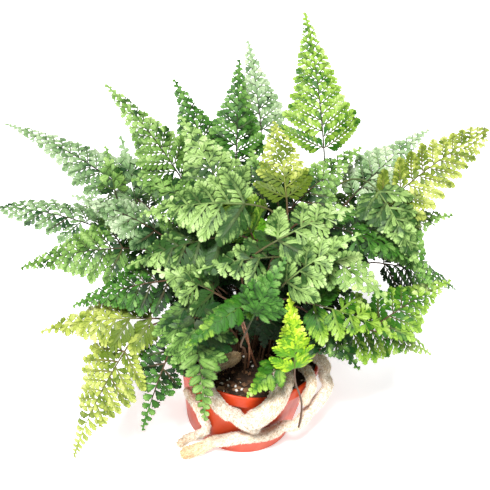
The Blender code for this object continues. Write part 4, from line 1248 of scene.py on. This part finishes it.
def add_pinna(parts, leaflets, curve, rng, style, root, sign, angle, reach, half, order, shade):
    """One side branch: a winged rib with leaflets on both sides, or one lobed leaflet when it is short.

    Root, reach and half width are in mm, sign is the side of the frond, and order counts from its base.
    """
    lean = rng.normal(0.0, PINNA_LEAN)
    turn = rng.normal(0.0, PINNA_ROLL)
    shade = shade + FROND_GAIN * (root / curve.length - 0.5) + rng.normal(0.0, PINNA_VARIES)
    if reach < style["one_leaflet_below"]:
        wide = min(SINGLE_WIDTHS[0] * half, SINGLE_WIDTHS[1] * reach)
        leaflets.add((root, 0.0, LEAFLET_LIFT), sign * angle, reach, wide, lean, turn, shade)
        return
    bend = math.radians(PINNA_BEND)
    pairs = max(LEAST_LEAFLETS, round(reach / style["leaflet_pitch"]))

    def spot(distance):
        heading = sign * (angle + 0.5 * bend * (1.0 - distance / reach))
        lift = (lean - PINNA_DROOP * distance / reach) * distance + LEAFLET_LIFT
        return np.array([root + math.cos(heading) * distance, math.sin(heading) * distance, lift])

    steps = [(index / (pairs - 1)) ** LEAFLET_CROWDING for index in range(pairs)]
    stations = [reach * (LEAFLET_FIRST + LEAFLET_RANGE * step) for step in steps]
    places, headings, halves = [spot(0.0)], [sign * (angle + 0.5 * bend)], [RIB_HALVES[0]]
    for distance, following in zip(stations, stations[1:] + [reach]):
        share = distance / reach
        heading = sign * (angle + 0.5 * bend - bend * share)
        gap = following - distance
        spread = math.radians(between(LEAFLET_ANGLES, share))
        width = half * (1.0 - share ** style["pinna_taper"])
        halves.append(max(RIB_HALVES[1], (style["rib_wing"] + TIP_WING * share * share) * width))
        places.append(spot(distance))
        headings.append(heading)
        for side in (1.0, -1.0):
            long = width / math.sin(spread)
            if side > 0.0 and order < len(BASAL_GROWTH):
                long *= 1.0 + BASAL_GROWTH[order] * (1.0 - share) ** BASAL_FADE
            if side < 0.0:
                long *= 1.0 + (ACROSCOPIC_GAIN - 1.0) * (1.0 - share) ** ACROSCOPIC_FADE
            room = ROOM_SHARE * (reach - distance) / math.cos(spread)
            long = min(long, room) * rng.uniform(*LEAFLET_LENGTHS)
            place = spot(distance + (LEAFLET_STAGGER * gap if side > 0.0 else 0.0))
            tone = shade + PINNA_GAIN * (share - 0.5) + rng.normal(0.0, LEAFLET_VARIES)
            wide = 0.5 * gap * math.sin(spread) * style["leaflet_fill"] * rng.uniform(*LEAFLET_WIDTHS)
            wide = min(max(wide, LEAFLET_SLIMMEST * long), LEAFLET_BROADEST * long)
            pitch = rng.normal(*LEAFLET_PITCH) - 2.0 * PINNA_DROOP * share * math.cos(spread)
            roll = side * sign * LEAFLET_ROLL[0] + rng.normal(turn, LEAFLET_ROLL[1])
            leaflets.add(place, heading + side * sign * spread, long, wide, pitch, roll, tone)
    places.append(spot(reach * RIB_END))
    headings.append(sign * (angle - 0.5 * bend))
    halves.append(RIB_HALVES[2])
    stems = style["rib_brown"] * np.linspace(1.0, 0.0, len(places))
    # The rib strip's shade is lowered a little: painted shade in the furrow along the rib
    add_strip(parts, curve, places, headings, halves, RIB_THICK, stems, shade - RIB_FURROW_SHADE)
    end = PINNA_END[0] * reach
    pitch = lean - 2.0 * PINNA_DROOP
    leaflets.add(spot(reach - end), headings[-1], end, PINNA_END[1] * end, pitch, 0.0, shade)


def add_round_stalk(parts, path, radii, ages, stems):
    """Closed round stalk along a path, with its shade and brownness at each ring."""
    _, side, other = path_frames(path)
    rings = path[:, None] + ring_spokes(side, other, STALK_SIDES) * radii[:, None, None]
    points = np.concatenate([rings.reshape(-1, 3), path[[0, -1]]])
    age, stem = (np.append(np.repeat(rows, STALK_SIDES), rows[[0, -1]]) for rows in (ages, stems))
    channels = np.column_stack([age, 0.5 + 0.0 * stem, stem, 0.0 * stem])
    parts.add(points, tube_faces(len(path), STALK_SIDES), channels)


def add_stalk(parts, curve, rib):
    """Round stalk from below the soil to the blade's tip, brown below and greener above."""
    buried = np.array([curve.stipe[0] - UP * STEM_FOOT_DEPTH * share for share in BURIED_SHARES])
    below = np.linspace(0.0, 1.0, STALK_ROWS)
    above = np.linspace(1.0 / STALK_ROWS, STALK_END, STALK_ROWS)
    ridge = curve.place(np.column_stack([above * curve.length, 0.0 * above, 0.0 * above - RIB_DROP]))
    path = np.concatenate([buried, bezier(curve.stipe, below), ridge])
    radii = [np.full(len(buried), STALK_RADII[0]), np.interp(below, (0.0, 1.0), STALK_RADII[:2]),
             np.interp(above, (0.0, 1.0), STALK_RADII[1:])]
    ages = np.concatenate([np.zeros(len(buried)), RIB_SHADE * below, np.full(STALK_ROWS, RIB_SHADE)])
    greening = rib + (1.0 - rib) * (1.0 - above) ** RIB_GREENING
    stems = np.concatenate([np.ones(len(buried) + STALK_ROWS), greening])
    add_round_stalk(parts, path, np.concatenate(radii), ages, stems)


def pinna_rows(curve, width, style):
    """Root distance, gap, angle and reach of each fine pinna, within the CAD blade's outline."""
    pairs = max(LEAST_PAIRS, round(curve.length / style["pinna_pitch"]))
    shares = 1.0 - (1.0 - np.arange(pairs) / pairs) ** TIP_CROWDING
    roots = curve.length * between((style["first_pinna"], PINNA_LAST), shares)
    gaps = np.diff(np.append(roots, curve.length))
    for root, gap in zip(roots, gaps):
        along = root / curve.length
        cad_share = max(0.0, (along - PINNA_FIRST) / PINNA_SPREAD) ** (1.0 / PINNA_CROWDING)
        angle = math.radians(between(PINNA_ANGLES, cad_share))
        rest = max(0.0, 1.0 - cad_share)
        flare = style["base_flare"]
        shape = (1.0 - flare) * rest ** style["blade_taper"] + flare * rest ** FLARE_POWER
        reach = 0.5 * width / math.sin(angle) * shape
        reach = max(reach, LEAST_REACH + LEAST_SLOPE * width * (1.0 - along))
        yield root, gap, angle, reach * style["breadth"]


def dress_frond(parts, curve, width, style, rng, lift=0.0):
    """Stalk, pinnae and end of one frond along its curve; lift makes the whole frond lighter."""
    leaflets = Leaflets(style["leaflet_shape"])
    add_stalk(parts, curve, style["rib_brown"])
    shade = MIDDLE_SHADE + lift + rng.normal(0.0, FROND_VARIES)
    for number, (root, gap, angle, reach) in enumerate(pinna_rows(curve, width, style)):
        half = 0.5 * gap * math.sin(angle) * style["pinna_fill"]
        for sign in (1.0, -1.0):
            shift = PINNA_STAGGER * gap if sign > 0.0 and number > 0 else 0.0
            room = (curve.length - root - shift) / math.cos(angle)
            long = min(reach * rng.uniform(*PINNA_LENGTHS), ROOM_SHARE * room)
            add_pinna(parts, leaflets, curve, rng, style, root + shift, sign, angle, long, half, number,
                      shade)
    end = FROND_END * curve.length
    long, wide = (size * end for size in FROND_END_SIZES)
    leaflets.add((curve.length - end, 0.0, FROND_END_LIFT), 0.0, long, wide, 0.0, 0.0, shade)
    wing = [(curve.length * share, 0.0, END_WING_LIFT) for share in END_WING]
    add_strip(parts, curve, wing, [0.0] * len(wing), END_WING_HALVES, END_WING_THICK, 0.0, shade)
    leaflets.build(curve, parts)


def paint_crown_shade(parts):
    """Painted shade: leaves deep in the crown are darkened, standing in for the shade of the leaves around
    them.
    """
    for points, channels in zip(parts.points, parts.channels):
        radius = np.linalg.norm((points - CROWN_CENTRE) / CROWN_RADII, axis=1)
        channels[:, 0] -= PAINTED_DEPTH_SHADE * np.clip(1.0 - radius / CROWN_SHELL, 0.0, 1.0)


def make_frond(row, index, material):
    """One frond in fine cut, in the place of its CAD node."""
    name, tone, base, tip, width, roll, cut, lift = row
    node = "frond_" + name
    parts = Parts()
    curve = fitted_curve(node, base, tip, width, roll)
    rng = np.random.default_rng(FROND_SEED + index)
    dress_frond(parts, curve, width, STYLES[cut], rng, lift)
    # Painted shade deep in the crown
    paint_crown_shade(parts)
    piece = parts.make("fine_" + node, material)
    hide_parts(node)


def inner_curve(share, turn, rng):
    """Curve of one inner frond, moved back where its tip would come too far to the front."""
    way = np.array([math.cos(turn), math.sin(turn), 0.0])
    out = between(INNER_OUT, share)
    length = rng.uniform(*INNER_LENGTH)
    base = INNER_CENTRE + way * out + UP * between(INNER_RISE, share)
    tip = base + way * length + UP * rng.uniform(*INNER_DIP)
    back = np.array([0.0, max(0.0, INNER_FRONT - tip[1]), 0.0])
    foot = INNER_CENTRE + way * INNER_FOOT * out + UP * SOIL_LEVEL
    return FrondCurve(base + back, tip + back, foot, rng.uniform(*INNER_ROLL))


def make_inner_fronds(materials):
    """Small shaded fronds: some below the canopy, turned by the golden angle, and some in gaps."""
    rng = np.random.default_rng(INNER_SEED)
    groups = {tone: Parts() for tone in INNER_TONES}
    for index in range(INNER_COUNT):
        curve = inner_curve(index / (INNER_COUNT - 1), index * GOLDEN_ANGLE, rng)
        parts = groups[INNER_TONES[index % len(INNER_TONES)]]
        dress_frond(parts, curve, rng.uniform(*INNER_WIDTH), STYLES["full"], rng)
    for tone, base, tip, width in GAP_FRONDS:
        foot = np.array([GAP_FOOT_SHARE * base[0], base[1] + GAP_FOOT_BACK, SOIL_LEVEL])
        parts = groups.setdefault(tone, Parts())
        dress_frond(parts, FrondCurve(base, tip, foot, 0.0), width, STYLES["dense"], rng)
    for tone, parts in groups.items():
        # Painted shade deep in the crown
        paint_crown_shade(parts)
        piece = parts.make("inner_fronds_" + tone, materials[tone])


def make_bare_stalks(material):
    """Old stalks without blades, standing in the soil at the front."""
    parts = Parts()
    rows = np.linspace(0.0, 1.0, STALK_ROWS)
    for stops in BARE_STALKS:
        path = bezier(np.array(stops), rows)
        radii = np.interp(rows, BARE_SHARES, BARE_RADII)
        add_round_stalk(parts, path, radii, np.full(STALK_ROWS, BARE_SHADE), np.ones(STALK_ROWS))
    piece = parts.make("bare_stalks", material)


# Stage

def floor_material():
    """White ground with a glow of its own, as a lit studio table has."""
    shader = Shader("floor", roughness=0.9, specular=0.2)
    shader.surface.inputs["Emission Color"].default_value = (*FLOOR_COLOUR, 1.0)
    shader.surface.inputs["Emission Strength"].default_value = FLOOR_GLOW
    return shader.colour(FLOOR_COLOUR)


def make_stage():
    """Pale floor, even sky and soft lights."""
    half = FLOOR_SIZE / 2.0
    corners = [(-half, -half, 0.0), (half, -half, 0.0), (half, half, 0.0), (-half, half, 0.0)]
    mesh = bpy.data.meshes.new("floor")
    mesh.from_pydata(corners, [], [(0, 1, 2, 3)])
    mesh.materials.append(floor_material())
    floor = add_object("floor", mesh)
    world = bpy.data.worlds.new("studio")
    world.use_nodes = True
    background = world.node_tree.nodes["Background"]
    background.inputs["Color"].default_value = (*SKY_COLOUR, 1.0)
    background.inputs["Strength"].default_value = SKY_STRENGTH
    bpy.context.scene.world = world
    for name, place, spread, power in SUNS:
        data = bpy.data.lights.new(name, "SUN")
        data.angle = math.radians(spread)
        data.energy = power
        light = add_object(name, data)
        light.location = place
        light.rotation_euler = (LIGHT_TARGET - Vector(place)).to_track_quat("-Z", "Y").to_euler()
    bpy.context.scene.view_settings.view_transform = "Standard"


def make_camera():
    """Camera above the viewer's side, looking down and rolled a little, as the photo was taken."""
    forward = Vector((0.0, math.cos(CAMERA_DROP), -math.sin(CAMERA_DROP)))
    level_right = Vector((1.0, 0.0, 0.0))
    level_up = level_right.cross(forward)
    right = level_right * math.cos(CAMERA_ROLL) + level_up * math.sin(CAMERA_ROLL)
    up = level_up * math.cos(CAMERA_ROLL) - level_right * math.sin(CAMERA_ROLL)
    across = (RIM_PIXEL[0] - PICTURE_SIZE / 2.0) / FOCAL_PIXELS * RIM_DISTANCE
    above = (PICTURE_SIZE / 2.0 - RIM_PIXEL[1]) / FOCAL_PIXELS * RIM_DISTANCE
    eye = RIM_CENTRE - right * across - up * above - forward * RIM_DISTANCE
    data = bpy.data.cameras.new("camera")
    data.sensor_width = SENSOR_WIDTH
    data.lens = SENSOR_WIDTH * FOCAL_PIXELS / PICTURE_SIZE
    camera = add_object("camera", data)
    rows = [(right[i], up[i], -forward[i], eye[i]) for i in range(3)]
    camera.matrix_world = Matrix(rows + [(0.0, 0.0, 0.0, 1.0)])
    bpy.context.scene.camera = camera


make_camera()
make_stage()
make_pot(pot_material())
make_soil(soil_material())
fur = fur_material()
fur_rng = np.random.default_rng(FUR_SEED)
for name, radius, stops in RHIZOMES:
    make_rhizome(name, radius, stops, fur, fur_rng)
leaves = {tone: leaf_material(tone) for tone in LEAF_TONES}
for index, row in enumerate(FRONDS):
    make_frond(row, index, leaves[row[1]])
make_inner_fronds(leaves)
make_bare_stalks(bark_material())
